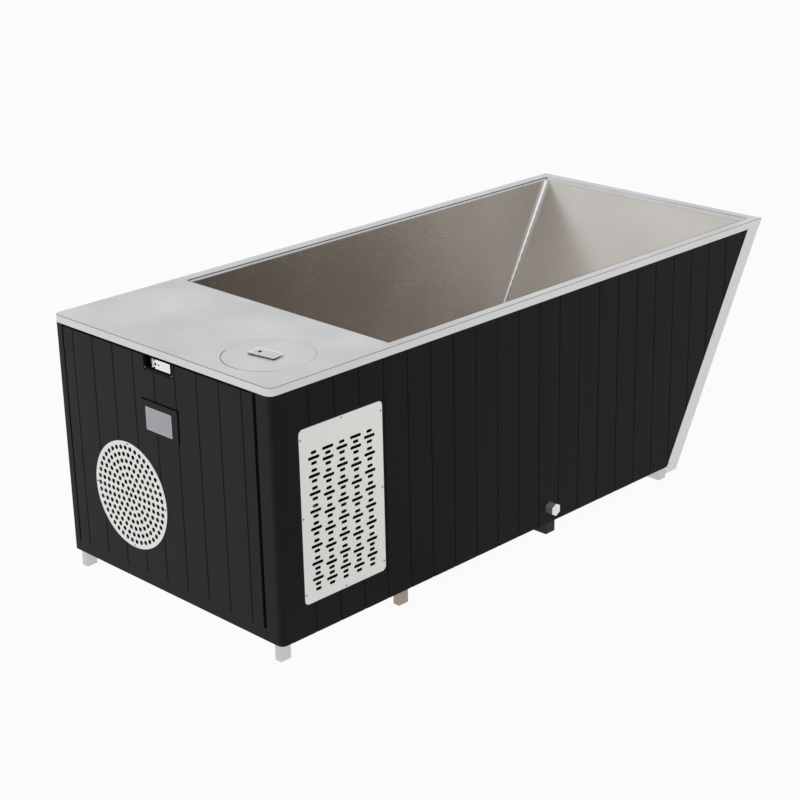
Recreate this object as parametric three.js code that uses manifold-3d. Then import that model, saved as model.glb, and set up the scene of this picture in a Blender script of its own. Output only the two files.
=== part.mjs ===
// Cold plunge tub with a built-in water chiller. A stainless basin and deck sit in a case clad in
// grooved boards; the equipment bay is at the front end and the far end slants.
// Millimetres, +Z up. Sizes along X run from the front edge of the rim, sizes along Z from the floor.
// The "near" side is -Y, with the vent grille and the drain; the origin lies under the middle beam.

import * as THREE from 'three';
import { mergeGeometries, mergeVertices } from 'three/addons/utils/BufferGeometryUtils.js';
import Module from 'manifold-3d';

// Whole tub
const LENGTH = 1848;
const WIDTH = 800;
const HEIGHT = 680;
const FOOT_HEIGHT = 45;
const END_BASE = 1496; // slanted end's outer face at the bottom of the cladding
const FIT = 0.3; // gap between pieces that meet but are not one

// Stainless deck and basin
const SHEET = 2;
const BAND = 19.5;
const RIM = 33.5;
const END_RIM = 31;
const RIM_CORNER = 18;
const DECK = 399;
const BASIN_FLOOR = 125;

// Cladding
const OVERHANG = 2;
const FRONT_SETBACK = 4;
const BOARD = 12;
const BOARD_PITCH = 78.5;
const FIRST_BOARD = 72.5; // from the corner post to the first groove
const GROOVE_WIDTH = 4;
const GROOVE_DEPTH = 3;
const POST_DEPTH = 36;
const POST_NEAR = 52;
const POST_FAR = 24;
const POST_NEAR_ROUND = 15;
const POST_FAR_ROUND = 6;
const SILL_HEIGHT = 32;

// Slanted end
const TRIM = 1.5;
const TRIM_INSET = 1;
const TRIM_SIDE = 52;
const TRIM_END = 50;
const TRIM_DROP = 18;

// Front access panel
const PANEL_PROUD = 2;
const PANEL_GAP = 8;
const PANEL_TOP_GAP = 7;
const NOTCH_Y = -3;
const NOTCH_HALF = 53;
const NOTCH_DROP = 34.5;
const LEDGE_HEIGHT = 5;
const LEDGE_HALF = 51;
const LEDGE_SETBACK = 3;

// Swing hasp in the notch
const HASP_Y = 9;
const HASP_LENGTH = 60;
const HASP_SHEET = 2;
const HASP_HEIGHT = 23;
const HASP_KNUCKLE = 4;
const HASP_BARREL_R = 3.5;
const HASP_PIN_R = 1.8;
const HASP_SETBACK = 3;
const HASP_ARM = 8;
const HASP_TOP_GAP = 7;
const HASP_CLEAR = 1;
const HASP_HOLE_R = 2.5;
const HASP_HOLE_AT = 18;
const BRACKET_SHEET = 2;
const BRACKET_SETBACK = 2;
const BRACKET_WIDTH = 38;

// Display on the access panel
const DISPLAY_Y = 3;
const DISPLAY_Z = 497;
const BEZEL_WIDTH = 136;
const BEZEL_HEIGHT = 82;
const BEZEL_OFF_Y = -3; // from the screen's centre
const BEZEL_OFF_Z = 4.5;
const BEZEL_PROUD = 3;
const SCREEN_WIDTH = 96;
const SCREEN_HEIGHT = 58;
const SCREEN_SHEET = 1;
const SCREEN_RECESS = 1.5;

// Round fan grille and the fan behind it
const GRILLE_SHEET = 2;
const FAN_Y = 135;
const FAN_Z = 272;
const FAN_GRILLE_R = 139;
const FAN_CUTOUT_R = 125;
const HOLE_R = 6;
const HOLE_RING_PITCH = 17.55;
const HOLE_RINGS = 7;
const SHROUD_GAP = 24;
const SHROUD_HALF = 150;
const SHROUD_SHEET = 2;
const SHROUD_RING = 3;
const SHROUD_DEPTH = 30;
const FAN_R = 118;
const FAN_TIP_GAP = 10;
const FAN_HUB_R = 34;
const FAN_HUB_DEPTH = 18;
const FAN_BLADES = 5;
const FAN_BLADE_CHORD = 52;
const FAN_BLADE_SHEET = 3;
const FAN_BLADE_PITCH = 24;
const FAN_SHAFT_R = 5;
const MOTOR_R = 40;
const MOTOR_DEPTH = 46;
const MOTOR_BAR = 24;
const MOTOR_BAR_SHEET = 3;

// Side vent grille
const VENT_X = 78;
const VENT_Z = 126;
const VENT_WIDTH = 261;
const VENT_HEIGHT = 433.5;
const VENT_CORNER = 12;
const VENT_BORDER = 20;
const SLOT_PITCH = 43.6;
const SLOT_STEP = 13.1;
const SLOT_COLUMNS = 5;
const SLOT_GROUPS = 7;
const SLOT_LONG = 35;
const SLOT_SHORT = 18;
const SLOT_WIDTH = 8;
const SLOT_TOP = 63.5; // from the grille's top edge down to the first row

// Filter hatch, its lid and the flip-up handle
const HATCH_X = 149;
const HATCH_INSET = 171; // from the near edge
const HATCH_R = 109;
const HATCH_GAP = 1;
const LEDGE_LIP = 10;
const LEDGE_BORDER = 8;
const LEDGE_SHEET = 4;
const HANDLE_OFF_X = -2; // from the hatch's centre
const HANDLE_OFF_Y = 8;
const HANDLE_TURN = 8;
const HANDLE_LENGTH = 80;
const HANDLE_WIDTH = 38;
const HANDLE_SHEET = 2;
const HANDLE_BASE_SHEET = 1.2;
const HANDLE_BASE_WIDTH = 30;
const HANDLE_OVERHANG = 10;
const HANDLE_BARREL_R = 1.8;
const HANDLE_PIN_R = 0.8;
const HANDLE_KNUCKLE = 12;

// Feet, beams and frame
const FOOT_LENGTH = 32;
const FOOT_WIDTH = 20;
const FOOT_INSET = 17;
const FOOT_SETBACK = 7;
const MIDDLE_BEAM_X = 969;
const MIDDLE_BEAM = 36;
const REAR_BEAM_SETBACK = 27.3; // from the end of the rails
const REAR_BEAM = 30;
const BEAM_INSET = 22;
const RAIL_HEIGHT = 30;
const RAIL_WIDTH = 30;
const TUBE_WALL = 2;
const UPRIGHT_WIDTH = 30;
const UPRIGHT_DEPTH = 20;
const PAN_SHEET = 3;
const BEARER_HEIGHT = 23;
const BEARER_WIDTH = 30;
const BEARER_INSET = 84;
const FOAM_FRONT = 20;

// Chiller and water circuit
const CONDENSER_DEPTH = 40;
const CONDENSER_FINS = 15;
const CONDENSER_FIN_DEPTH = 6;
const PIECE_GAP = 8; // between neighbouring pieces in the bay
const FILTER_R = 75;
const FILTER_WALL = 5;
const FILTER_DROP = 80;
const CARTRIDGE_R = 56;
const CARTRIDGE_CORE_R = 22;
const CARTRIDGE_PLEATS = 20;
const CARTRIDGE_PLEAT_DEPTH = 7;
const CARTRIDGE_HEADROOM = 30;
const CAP_BORDER = 5;
const CAP_SHEET = 12;
const CAP_PLUG = 14;
const CAP_GRIP_LENGTH = 100;
const CAP_GRIP_WIDTH = 16;
const CAP_GRIP_HEIGHT = 22;
const PUMP_R = 45;
const PUMP_MOTOR = 95;
const PUMP_VOLUTE_R = 55;
const PUMP_VOLUTE = 40;
const PUMP_FOOT = 12;
const PUMP_HOSE_RUN = 84;
const EXCHANGER_R = 60;
const EXCHANGER_HEIGHT = 350;
const EXCHANGER_SHOULDER = 14;
const COMPRESSOR_R = 75;
const COMPRESSOR_HEIGHT = 240;
const COMPRESSOR_DOME = 50;
const COMPRESSOR_BASE_R = 60;
const COMPRESSOR_CROWN_R = 26;
const COMPRESSOR_BEND = 35;
const COMPRESSOR_PORT_AT = 30;
const CONTROL_DEPTH = 60;
const CONTROL_WIDTH = 200;
const CONTROL_HEIGHT = 160;
const CONTROL_Y = 190;
const CONTROL_DROP = 40;
const HOSE_R = 14;
const PORT_R = 17;
const PORT = 12;
const LINE_R = 5;
const LINE_PORT_R = 7;
const LINE_PORT = 8;
const LINE_LIFT = 110;
const FITTING_R = 24;
const FITTING_BORE_R = 14;
const FITTING_FLANGE_R = 35;
const FITTING_FLANGE = 5;
const FITTING_NUT_R = 32;
const FITTING_NUT = 10;
const FITTING_TAIL = 14;
const SUCTION_RISE = 65;
const RETURN_DROP = 120;
const FILTER_IN_RISE = 222;
const FILTER_OUT_RISE = 342;
const EXCHANGER_IN_RISE = 300;
const LIQUID_RISE = 50;
const SUCTION_LINE_RISE = 292;

// Floor drain and its outlet on the near side
const DRAIN_X = 940;
const DRAIN_Y = -250;
const DRAIN_RISE = 13.8; // pipe above the base rails
const DRAIN_PIPE_R = 9.5;
const SUMP_R = 22;
const SUMP_WALL = 6;
const DRAIN_FLANGE_R = 32;
const DRAIN_FLANGE = 3;
const CAP_HEX = 30; // across flats
const CAP_LENGTH = 24;
const CAP_END = 5;

// Round pieces in this model are many-sided
const ROUND = 24;
const FINE = 48;
const TUBE_SIDES = 12;
const TUBE_STEPS = 16;
const CORNER_STEPS = 4;

// Places that follow from the sizes above
const NEAR = -1;
const FAR = 1;
const deckUnder = HEIGHT - SHEET;
const bandBottom = HEIGHT - BAND;
const hatchY = HATCH_INSET - WIDTH / 2;
const openHalf = WIDTH / 2 - RIM;
const basinHalf = openHalf + SHEET;
const boardOuter = WIDTH / 2 - OVERHANG;
const boardInner = boardOuter - BOARD;
const postFront = FRONT_SETBACK;
const postBack = postFront + BOARD;
const postEnd = postFront + POST_DEPTH;
const postEdges = { [NEAR]: POST_NEAR - boardOuter, [FAR]: boardOuter - POST_FAR };
const panelFront = postFront - PANEL_PROUD;
const panelBack = panelFront + BOARD;
const panelNear = postEdges[NEAR] + PANEL_GAP;
const panelFar = postEdges[FAR] - PANEL_GAP;
const sillTop = FOOT_HEIGHT + SILL_HEIGHT;
const panelBottom = sillTop + FIT;
const panelTop = bandBottom - PANEL_TOP_GAP;
const notchBottom = panelTop - NOTCH_DROP;
const railTop = FOOT_HEIGHT + RAIL_HEIGHT;
const panTop = railTop + PAN_SHEET;
const bayFloor = panTop;
const bulkhead = DECK - SHEET - FOAM_FRONT;
const bearerTop = railTop + BEARER_HEIGHT;
const basinUnder = BASIN_FLOOR - SHEET;
const uprightFront = panelBack + FIT;
const firstGroove = postEnd + FIRST_BOARD;
const haspX = panelFront + HASP_SETBACK;
const drainZ = railTop + DRAIN_RISE;

// The slanted end is a leaning plane; insets are measured square to it
const slope = (LENGTH - END_BASE) / (HEIGHT - FOOT_HEIGHT);
const slant = Math.hypot(1, slope);
const endX = (z, inset) => LENGTH - slope * (HEIGHT - z) - inset * slant;
const endBoardOuter = TRIM_INSET + TRIM + FIT;
const endBoardInner = endBoardOuter + BOARD;
const basinEnd = END_RIM / slant;
const basinEndOuter = basinEnd - SHEET;
const railEnd = endX(FOOT_HEIGHT, endBoardInner) - FIT;
const rearBeamX = railEnd - REAR_BEAM_SETBACK;
const bearerFronts = [DECK + BEARER_INSET, railEnd - BEARER_INSET];

// Finishes
const finish = (color, roughness, metalness) => new THREE.MeshStandardMaterial({ color, roughness, metalness });
const STEEL = finish(0xc9c9c6, 0.38, 1);
const CHROME = finish(0xe8e8ea, 0.12, 1);
const BLACK_BOARD = finish(0x232325, 0.55, 0);
const BLACK_PAINT = finish(0x1a1a1b, 0.6, 0);
const BEZEL_BLACK = finish(0x2b2b2d, 0.45, 0);
const SCREEN_GREY = finish(0xa7a9ab, 0.3, 0);
const FOAM = finish(0xd8cf9f, 0.9, 0);
const GALVANISED = finish(0xa3a7a8, 0.5, 1);
const FIN_ALUMINIUM = finish(0xb9bec2, 0.45, 1);
const COPPER = finish(0xb87345, 0.35, 1);
const PUMP_BLACK = finish(0x202226, 0.6, 0);
const HOUSING_WHITE = finish(0xe4e6e6, 0.5, 0);
const FILTER_WHITE = finish(0xeef0ec, 0.9, 0);
const HOSE_GREY = finish(0x6e7275, 0.7, 0);

// Joins and cuts of closed meshes
const wasm = await Module();
wasm.setup();

function toSolid(geometry) {
  const bare = geometry.clone();
  bare.deleteAttribute('normal');
  bare.deleteAttribute('uv');
  const merged = mergeVertices(bare, 1e-4);
  const corners = merged.index.array;
  const kept = [];
  for (let i = 0; i < corners.length; i += 3) {
    const [a, b, c] = [corners[i], corners[i + 1], corners[i + 2]];
    if (a !== b && b !== c && c !== a) kept.push(a, b, c);
  }
  const vertProperties = new Float32Array(merged.attributes.position.array);
  return new wasm.Manifold(new wasm.Mesh({ numProp: 3, vertProperties, triVerts: new Uint32Array(kept) }));
}

function toGeometry(solid) {
  const { vertProperties, triVerts } = solid.getMesh();
  const geometry = new THREE.BufferGeometry();
  geometry.setAttribute('position', new THREE.BufferAttribute(new Float32Array(vertProperties), 3));
  geometry.setIndex(new THREE.BufferAttribute(new Uint32Array(triVerts), 1));
  return geometry;
}

const join = (first, ...others) => toGeometry(others.reduce((s, g) => s.add(toSolid(g)), toSolid(first)));
const cut = (first, ...others) => toGeometry(others.reduce((s, g) => s.subtract(toSolid(g)), toSolid(first)));
const common = (first, second) => toGeometry(toSolid(first).intersect(toSolid(second)));

// Basic shapes, each placed in the tub's own frame
const [AXIS_X, AXIS_Y, AXIS_Z] = [[1, 0, 0], [0, 1, 0], [0, 0, 1]].map((v) => new THREE.Vector3(...v));
const ALONG_X = new THREE.Matrix4().makeBasis(AXIS_Y, AXIS_Z, AXIS_X);
const ALONG_Y = new THREE.Matrix4().makeBasis(AXIS_Z, AXIS_X, AXIS_Y);

function box(x0, x1, y0, y1, z0, z1) {
  const geometry = new THREE.BoxGeometry(x1 - x0, y1 - y0, z1 - z0);
  return geometry.translate((x0 + x1) / 2, (y0 + y1) / 2, (z0 + z1) / 2);
}

const outline = (points) => new THREE.Shape(points.map(([u, v]) => new THREE.Vector2(u, v)));

function extrude(points, depth, holes = []) {
  const shape = outline(points);
  shape.holes = holes.map(outline);
  return new THREE.ExtrudeGeometry(shape, { depth, bevelEnabled: false });
}

// Outlines are [x, y] for a prism along Z, [y, z] along X and [z, x] along Y
const prismZ = (points, z0, z1, holes) => extrude(points, z1 - z0, holes).translate(0, 0, z0);
const prismX = (points, x0, x1, holes) => (
  extrude(points, x1 - x0, holes).applyMatrix4(ALONG_X).translate(x0, 0, 0)
);
const prismY = (points, y0, y1, holes) => (
  extrude(points, y1 - y0, holes).applyMatrix4(ALONG_Y).translate(0, y0, 0)
);

const ring = (cu, cv, r, sides, turn = 0) => Array.from({ length: sides }, (_, i) => {
  const angle = turn + (i * 2 * Math.PI) / sides;
  return [cu + r * Math.cos(angle), cv + r * Math.sin(angle)];
});

const arc = (cu, cv, r, from, to) => Array.from({ length: CORNER_STEPS + 1 }, (_, i) => {
  const angle = from + ((to - from) * i) / CORNER_STEPS;
  return [cu + r * Math.cos(angle), cv + r * Math.sin(angle)];
});

const rodZ = (x, y, r, z0, z1, sides = ROUND) => prismZ(ring(x, y, r, sides), z0, z1);
const rodX = (y, z, r, x0, x1, sides = ROUND) => prismX(ring(y, z, r, sides), x0, x1);
const rodY = (x, z, r, y0, y1, sides = ROUND) => prismY(ring(z, x, r, sides), y0, y1);

// A turned piece standing at (x, y); the profile is [radius, height above z] from the axis round to the axis
function turned(x, y, z, profile) {
  const points = profile.map(([r, h]) => new THREE.Vector2(r, h));
  return new THREE.LatheGeometry(points, ROUND).rotateX(Math.PI / 2).translate(x, y, z);
}

function tube(points, r) {
  const path = new THREE.CatmullRomCurve3(points.map((p) => new THREE.Vector3(...p)), false, 'centripetal');
  const section = outline(ring(0, 0, r, TUBE_SIDES));
  return new THREE.ExtrudeGeometry(section, { steps: TUBE_STEPS, extrudePath: path, bevelEnabled: false });
}

// The bore of a square frame tube, left open at both ends of the given box
const boreX = (x0, x1, y0, y1, z0, z1) => (
  box(x0 - TUBE_WALL, x1 + TUBE_WALL, y0 + TUBE_WALL, y1 - TUBE_WALL, z0 + TUBE_WALL, z1 - TUBE_WALL)
);
const boreZ = (x0, x1, y0, y1, z0, z1) => (
  box(x0 + TUBE_WALL, x1 - TUBE_WALL, y0 + TUBE_WALL, y1 - TUBE_WALL, z0 - TUBE_WALL, z1 + TUBE_WALL)
);

// Leans an upright prism over so that it follows the slanted end; its X sizes are those at the rim
function lean(geometry) {
  const place = geometry.attributes.position;
  for (let i = 0; i < place.count; i += 1) place.setX(i, place.getX(i) + slope * (place.getZ(i) - HEIGHT));
  return geometry;
}

// Everything in front of the slanted plane at one inset
function beforeEnd(inset) {
  const [low, high] = [-HEIGHT, 2 * HEIGHT];
  const front = -LENGTH;
  const points = [[low, front], [low, endX(low, inset)], [high, endX(high, inset)], [high, front]];
  return prismY(points, -WIDTH, WIDTH);
}

// A grooved face along u, from u0 to u1, at depth v; the board's back is at depth back
function groovedBoard(u0, u1, v, back, grooves) {
  const inward = Math.sign(back - v) * GROOVE_DEPTH;
  const face = grooves.filter((g) => g > u0 + GROOVE_WIDTH && g < u1 - GROOVE_WIDTH).flatMap((g) => [
    [g - GROOVE_WIDTH / 2, v], [g, v + inward], [g + GROOVE_WIDTH / 2, v],
  ]);
  return [[u0, back], [u0, v], ...face, [u1, v], [u1, back]];
}

const centredGrooves = (u0, u1) => {
  const count = Math.floor((u1 - u0) / 2 / BOARD_PITCH);
  return Array.from({ length: 2 * count + 1 }, (_, i) => (u0 + u1) / 2 + (i - count) * BOARD_PITCH);
};

const swap = (points) => points.map(([u, v]) => [v, u]);

const tub = new THREE.Group();
tub.position.x = -MIDDLE_BEAM_X;

function add(name, geometry, material, parent = tub) {
  const mesh = new THREE.Mesh(geometry, material);
  mesh.name = name;
  parent.add(mesh);
}

const sideName = (side) => (side === NEAR ? 'near' : 'far');

// A piece on one long side: y0 and y1 are distances from the middle
const onSide = (side, shape, x0, x1, y0, y1, z0, z1) => (
  side === NEAR ? shape(x0, x1, -y1, -y0, z0, z1) : shape(x0, x1, y0, y1, z0, z1)
);

// Where the water fittings pass through the basin's front wall
const pumpY = hatchY + FILTER_R + PIECE_GAP + PUMP_R;
const exchangerY = pumpY + PUMP_VOLUTE_R + PIECE_GAP + EXCHANGER_R;
const compressorY = exchangerY + EXCHANGER_R + PIECE_GAP + COMPRESSOR_R;
const suctionZ = BASIN_FLOOR + SUCTION_RISE;
const returnZ = HEIGHT - RETURN_DROP;
const fittingEnd = bulkhead - FITTING_TAIL;

function addDeck() {
  const outlineAt = (inset) => {
    const half = WIDTH / 2 - inset;
    const r = RIM_CORNER - inset;
    return [
      [LENGTH, -half], [LENGTH, half],
      ...arc(RIM_CORNER, half - r, r, Math.PI / 2, Math.PI),
      ...arc(RIM_CORNER, r - half, r, Math.PI, (3 * Math.PI) / 2),
    ];
  };
  const block = common(prismZ(outlineAt(0), bandBottom, HEIGHT), beforeEnd(0));
  const hollow = common(prismZ(outlineAt(SHEET), HEIGHT - 2 * BAND, deckUnder), beforeEnd(SHEET));
  const opening = box(DECK, endX(deckUnder, basinEnd), -openHalf, openHalf, 0, 2 * HEIGHT);
  const hatchHole = rodZ(HATCH_X, hatchY, HATCH_R + HATCH_GAP, 0, 2 * HEIGHT, FINE);
  const ledge = cut(
    rodZ(HATCH_X, hatchY, HATCH_R + LEDGE_BORDER, deckUnder - LEDGE_SHEET, deckUnder, FINE),
    rodZ(HATCH_X, hatchY, HATCH_R - LEDGE_LIP, 0, HEIGHT, FINE),
  );
  add('top_deck', join(cut(block, hollow, opening, hatchHole), ledge), STEEL);
}

function addBasin() {
  const shell = prismY([
    [basinUnder, DECK - SHEET], [basinUnder, endX(basinUnder, basinEndOuter)],
    [deckUnder, endX(deckUnder, basinEndOuter)], [deckUnder, DECK - SHEET],
  ], -basinHalf, basinHalf);
  const inside = prismY([
    [BASIN_FLOOR, DECK], [BASIN_FLOOR, endX(BASIN_FLOOR, basinEnd)],
    [HEIGHT, endX(HEIGHT, basinEnd)], [HEIGHT, DECK],
  ], -openHalf, openHalf);
  const port = (y, z) => rodX(y, z, FITTING_R + FIT, 0, DECK + SHEET);
  const drain = rodZ(DRAIN_X, DRAIN_Y, SUMP_R + FIT, 0, HEIGHT);
  add('basin', cut(shell, inside, port(pumpY, suctionZ), port(exchangerY, returnZ), drain), STEEL);
}

function addInsulation() {
  const drainBore = rodY(DRAIN_X, drainZ, DRAIN_PIPE_R + FIT, -WIDTH, 0);
  for (const side of [NEAR, FAR]) {
    const slab = onSide(side, box, bulkhead, LENGTH, basinHalf, boardInner, railTop, deckUnder);
    const trimmed = common(slab, beforeEnd(basinEndOuter));
    add(`insulation_${sideName(side)}`, side === NEAR ? cut(trimmed, drainBore) : trimmed, FOAM);
  }
  const endSlab = box(
    endX(HEIGHT, basinEndOuter - FIT), endX(HEIGHT, endBoardInner + FIT),
    FIT - boardInner, boardInner - FIT, railTop, deckUnder,
  );
  add('insulation_end', lean(endSlab), FOAM);
  const floorSlab = box(
    DECK - SHEET, endX(bearerTop, basinEndOuter) - FIT, FIT - basinHalf, basinHalf - FIT, bearerTop, basinUnder,
  );
  const sumpHole = rodZ(DRAIN_X, DRAIN_Y, SUMP_R + FIT, 0, HEIGHT);
  const pipeGroove = rodY(DRAIN_X, drainZ, DRAIN_PIPE_R + FIT, -WIDTH, DRAIN_Y);
  add('insulation_floor', cut(floorSlab, sumpHole, pipeGroove), FOAM);
  const port = (y, z) => rodX(y, z, FITTING_R + FIT, 0, DECK);
  const bulkheadSlab = box(bulkhead, DECK - SHEET, FIT - basinHalf, basinHalf - FIT, railTop, deckUnder);
  add('insulation_bulkhead', cut(bulkheadSlab, port(pumpY, suctionZ), port(exchangerY, returnZ)), FOAM);
}

function addCladding() {
  const boardStart = postEnd + FIT;
  const boardCount = Math.floor((LENGTH - firstGroove) / BOARD_PITCH);
  const grooves = Array.from({ length: boardCount + 1 }, (_, i) => firstGroove + i * BOARD_PITCH);
  const ventHole = box(
    VENT_X + VENT_BORDER, VENT_X + VENT_WIDTH - VENT_BORDER, -WIDTH, 0,
    VENT_Z + VENT_BORDER, VENT_Z + VENT_HEIGHT - VENT_BORDER,
  );
  const drainHole = rodY(DRAIN_X, drainZ, DRAIN_PIPE_R + FIT, -WIDTH, 0);
  for (const side of [NEAR, FAR]) {
    const plan = groovedBoard(boardStart, LENGTH, side * boardOuter, side * boardInner, grooves);
    const boards = common(prismZ(plan, FOOT_HEIGHT, deckUnder), beforeEnd(endBoardOuter));
    const finished = side === NEAR ? cut(boards, ventHole, drainHole) : boards;
    add(`side_cladding_${sideName(side)}`, finished, BLACK_BOARD);
  }
  const half = boardInner - FIT;
  const endPlan = swap(groovedBoard(
    -half, half, endX(HEIGHT, endBoardOuter), endX(HEIGHT, endBoardInner), centredGrooves(-half, half),
  ));
  add('end_cladding', lean(prismZ(endPlan, FOOT_HEIGHT, deckUnder)), BLACK_BOARD);
}

function addEndTrims() {
  const outer = endX(HEIGHT, TRIM_INSET);
  const inner = endX(HEIGHT, TRIM_INSET + TRIM);
  for (const side of [NEAR, FAR]) {
    const angle = [
      [outer - TRIM_SIDE, side * boardOuter], [outer - TRIM_SIDE, side * (boardOuter + TRIM)],
      [outer, side * (boardOuter + TRIM)], [outer, side * (boardOuter + TRIM - TRIM_END)],
      [inner, side * (boardOuter + TRIM - TRIM_END)], [inner, side * boardOuter],
    ];
    add(`end_trim_${sideName(side)}`, lean(prismZ(angle, FOOT_HEIGHT - TRIM_DROP, bandBottom - FIT)), STEEL);
  }
}

function addFrontPosts() {
  for (const side of [NEAR, FAR]) {
    const r = side === NEAR ? POST_NEAR_ROUND : POST_FAR_ROUND;
    const edge = side * postEdges[side];
    const plan = [
      [postEnd, boardInner], [postEnd, boardOuter],
      ...arc(postFront + r, boardOuter - r, r, Math.PI / 2, Math.PI),
      [postFront, edge], [postBack, edge], [postBack, boardInner],
    ].map(([x, y]) => [x, side * y]);
    add(`corner_post_${sideName(side)}`, prismZ(plan, FOOT_HEIGHT, bandBottom - FIT), BLACK_BOARD);
  }
  const [sillNear, sillFar] = [postEdges[NEAR] + FIT, postEdges[FAR] - FIT];
  add('front_sill', box(postFront, postBack, sillNear, sillFar, FOOT_HEIGHT, sillTop), BLACK_BOARD);
}

function addAccessPanel() {
  const plan = swap(groovedBoard(
    panelNear, panelFar, panelFront, panelBack, centredGrooves(panelNear, panelFar),
  ));
  const fanHole = rodX(FAN_Y, FAN_Z, FAN_CUTOUT_R, -LENGTH, LENGTH, FINE);
  const notch = box(-LENGTH, LENGTH, NOTCH_Y - NOTCH_HALF, NOTCH_Y + NOTCH_HALF, notchBottom, HEIGHT);
  const ledge = box(
    panelFront + LEDGE_SETBACK, panelBack - LEDGE_SETBACK, NOTCH_Y - LEDGE_HALF, NOTCH_Y + LEDGE_HALF,
    notchBottom - LEDGE_HEIGHT, notchBottom + LEDGE_HEIGHT,
  );
  add('access_panel', join(cut(prismZ(plan, panelBottom, panelTop), fanHole, notch), ledge), BLACK_BOARD);

  const display = (width, height, x0, x1, y = DISPLAY_Y, z = DISPLAY_Z) => (
    box(x0, x1, y - width / 2, y + width / 2, z - height / 2, z + height / 2)
  );
  const bezelFront = panelFront - BEZEL_PROUD;
  const screenBack = bezelFront + SCREEN_RECESS;
  const pocket = display(SCREEN_WIDTH + 2 * FIT, SCREEN_HEIGHT + 2 * FIT, bezelFront - BEZEL_PROUD, screenBack);
  const bezel = display(
    BEZEL_WIDTH, BEZEL_HEIGHT, bezelFront, panelFront, DISPLAY_Y + BEZEL_OFF_Y, DISPLAY_Z + BEZEL_OFF_Z,
  );
  add('display_bezel', cut(bezel, pocket), BEZEL_BLACK);
  const screen = display(SCREEN_WIDTH, SCREEN_HEIGHT, screenBack - SCREEN_SHEET, screenBack);
  add('display_screen', screen, SCREEN_GREY);

  const holes = [ring(FAN_Y, FAN_Z, HOLE_R, 6)];
  for (let k = 1; k <= HOLE_RINGS; k += 1) {
    const centres = ring(FAN_Y, FAN_Z, k * HOLE_RING_PITCH, 6 * k);
    holes.push(...centres.map(([y, z]) => ring(y, z, HOLE_R, 6)));
  }
  const disc = ring(FAN_Y, FAN_Z, FAN_GRILLE_R, FINE);
  add('fan_grille', prismX(disc, panelFront - GRILLE_SHEET, panelFront, holes), STEEL);
}

function addLatch() {
  const top = bandBottom - HASP_TOP_GAP;
  const bottom = top - HASP_HEIGHT;
  const barrelLow = bottom + HASP_KNUCKLE + FIT;
  const barrelHigh = top - HASP_KNUCKLE - FIT;
  const leafFront = haspX - HASP_BARREL_R;
  const leafStart = HASP_Y - HASP_BARREL_R - HASP_CLEAR;
  const rod = (r, z0, z1) => rodZ(haspX, HASP_Y, r, z0, z1, TUBE_SIDES);
  const leaf = box(leafFront, leafFront + HASP_SHEET, HASP_Y - HASP_LENGTH, leafStart, bottom, top);
  const tongue = box(leafFront, leafFront + HASP_SHEET, leafStart - HASP_SHEET, HASP_Y, barrelLow, barrelHigh);
  const bore = rod(HASP_PIN_R + FIT, 0, HEIGHT);
  const hole = rodX(HASP_Y - HASP_HOLE_AT, (bottom + top) / 2, HASP_HOLE_R, -LENGTH, LENGTH, TUBE_SIDES);
  add('latch_hasp', cut(join(leaf, tongue, rod(HASP_BARREL_R, barrelLow, barrelHigh)), bore, hole), CHROME);

  const plateFront = panelBack + BRACKET_SETBACK;
  const plate = box(
    plateFront, plateFront + BRACKET_SHEET, HASP_Y, HASP_Y + BRACKET_WIDTH - HASP_BARREL_R, bottom, deckUnder,
  );
  const knuckles = [[bottom, bottom + HASP_KNUCKLE], [top - HASP_KNUCKLE, top]];
  const arms = knuckles.map(([z0, z1]) => join(
    rod(HASP_BARREL_R, z0, z1),
    box(haspX, plateFront + BRACKET_SHEET, HASP_Y, HASP_Y + HASP_ARM, z0, z1),
  ));
  add('latch_bracket', join(plate, ...arms, rod(HASP_PIN_R, bottom, top)), BLACK_PAINT);
}

function addSideGrille() {
  const [x1, z1] = [VENT_X + VENT_WIDTH, VENT_Z + VENT_HEIGHT];
  const r = VENT_CORNER;
  const plate = [
    ...arc(z1 - r, x1 - r, r, 0, Math.PI / 2), ...arc(VENT_Z + r, x1 - r, r, Math.PI / 2, Math.PI),
    ...arc(VENT_Z + r, VENT_X + r, r, Math.PI, (3 * Math.PI) / 2),
    ...arc(z1 - r, VENT_X + r, r, (3 * Math.PI) / 2, 2 * Math.PI),
  ];
  const slot = (x, z, length) => box(
    x - length / 2, x + length / 2, -boardOuter - 2 * GRILLE_SHEET, GRILLE_SHEET - boardOuter,
    z - SLOT_WIDTH / 2, z + SLOT_WIDTH / 2,
  );
  const trio = [SLOT_SHORT, SLOT_LONG, SLOT_SHORT];
  const tailStart = (SLOT_GROUPS - 1) * SLOT_PITCH + trio.length * SLOT_STEP;
  const slots = [];
  for (let column = 0; column < SLOT_COLUMNS; column += 1) {
    const x = VENT_X + VENT_WIDTH / 2 + (column - (SLOT_COLUMNS - 1) / 2) * SLOT_PITCH;
    const even = column % 2 === 1;
    const first = z1 - SLOT_TOP - (even ? SLOT_STEP : 0);
    if (even) slots.push(slot(x, first + SLOT_STEP, SLOT_LONG));
    for (let group = 0; group < SLOT_GROUPS; group += 1) {
      trio.forEach((length, i) => slots.push(slot(x, first - group * SLOT_PITCH - i * SLOT_STEP, length)));
    }
    const tail = even ? trio : [...trio, SLOT_SHORT];
    tail.forEach((length, i) => slots.push(slot(x, first - tailStart - i * SLOT_STEP, length)));
  }
  const sheet = prismY(plate, -boardOuter - GRILLE_SHEET, -boardOuter);
  add('side_grille', cut(sheet, mergeGeometries(slots)), STEEL);
}

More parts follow.
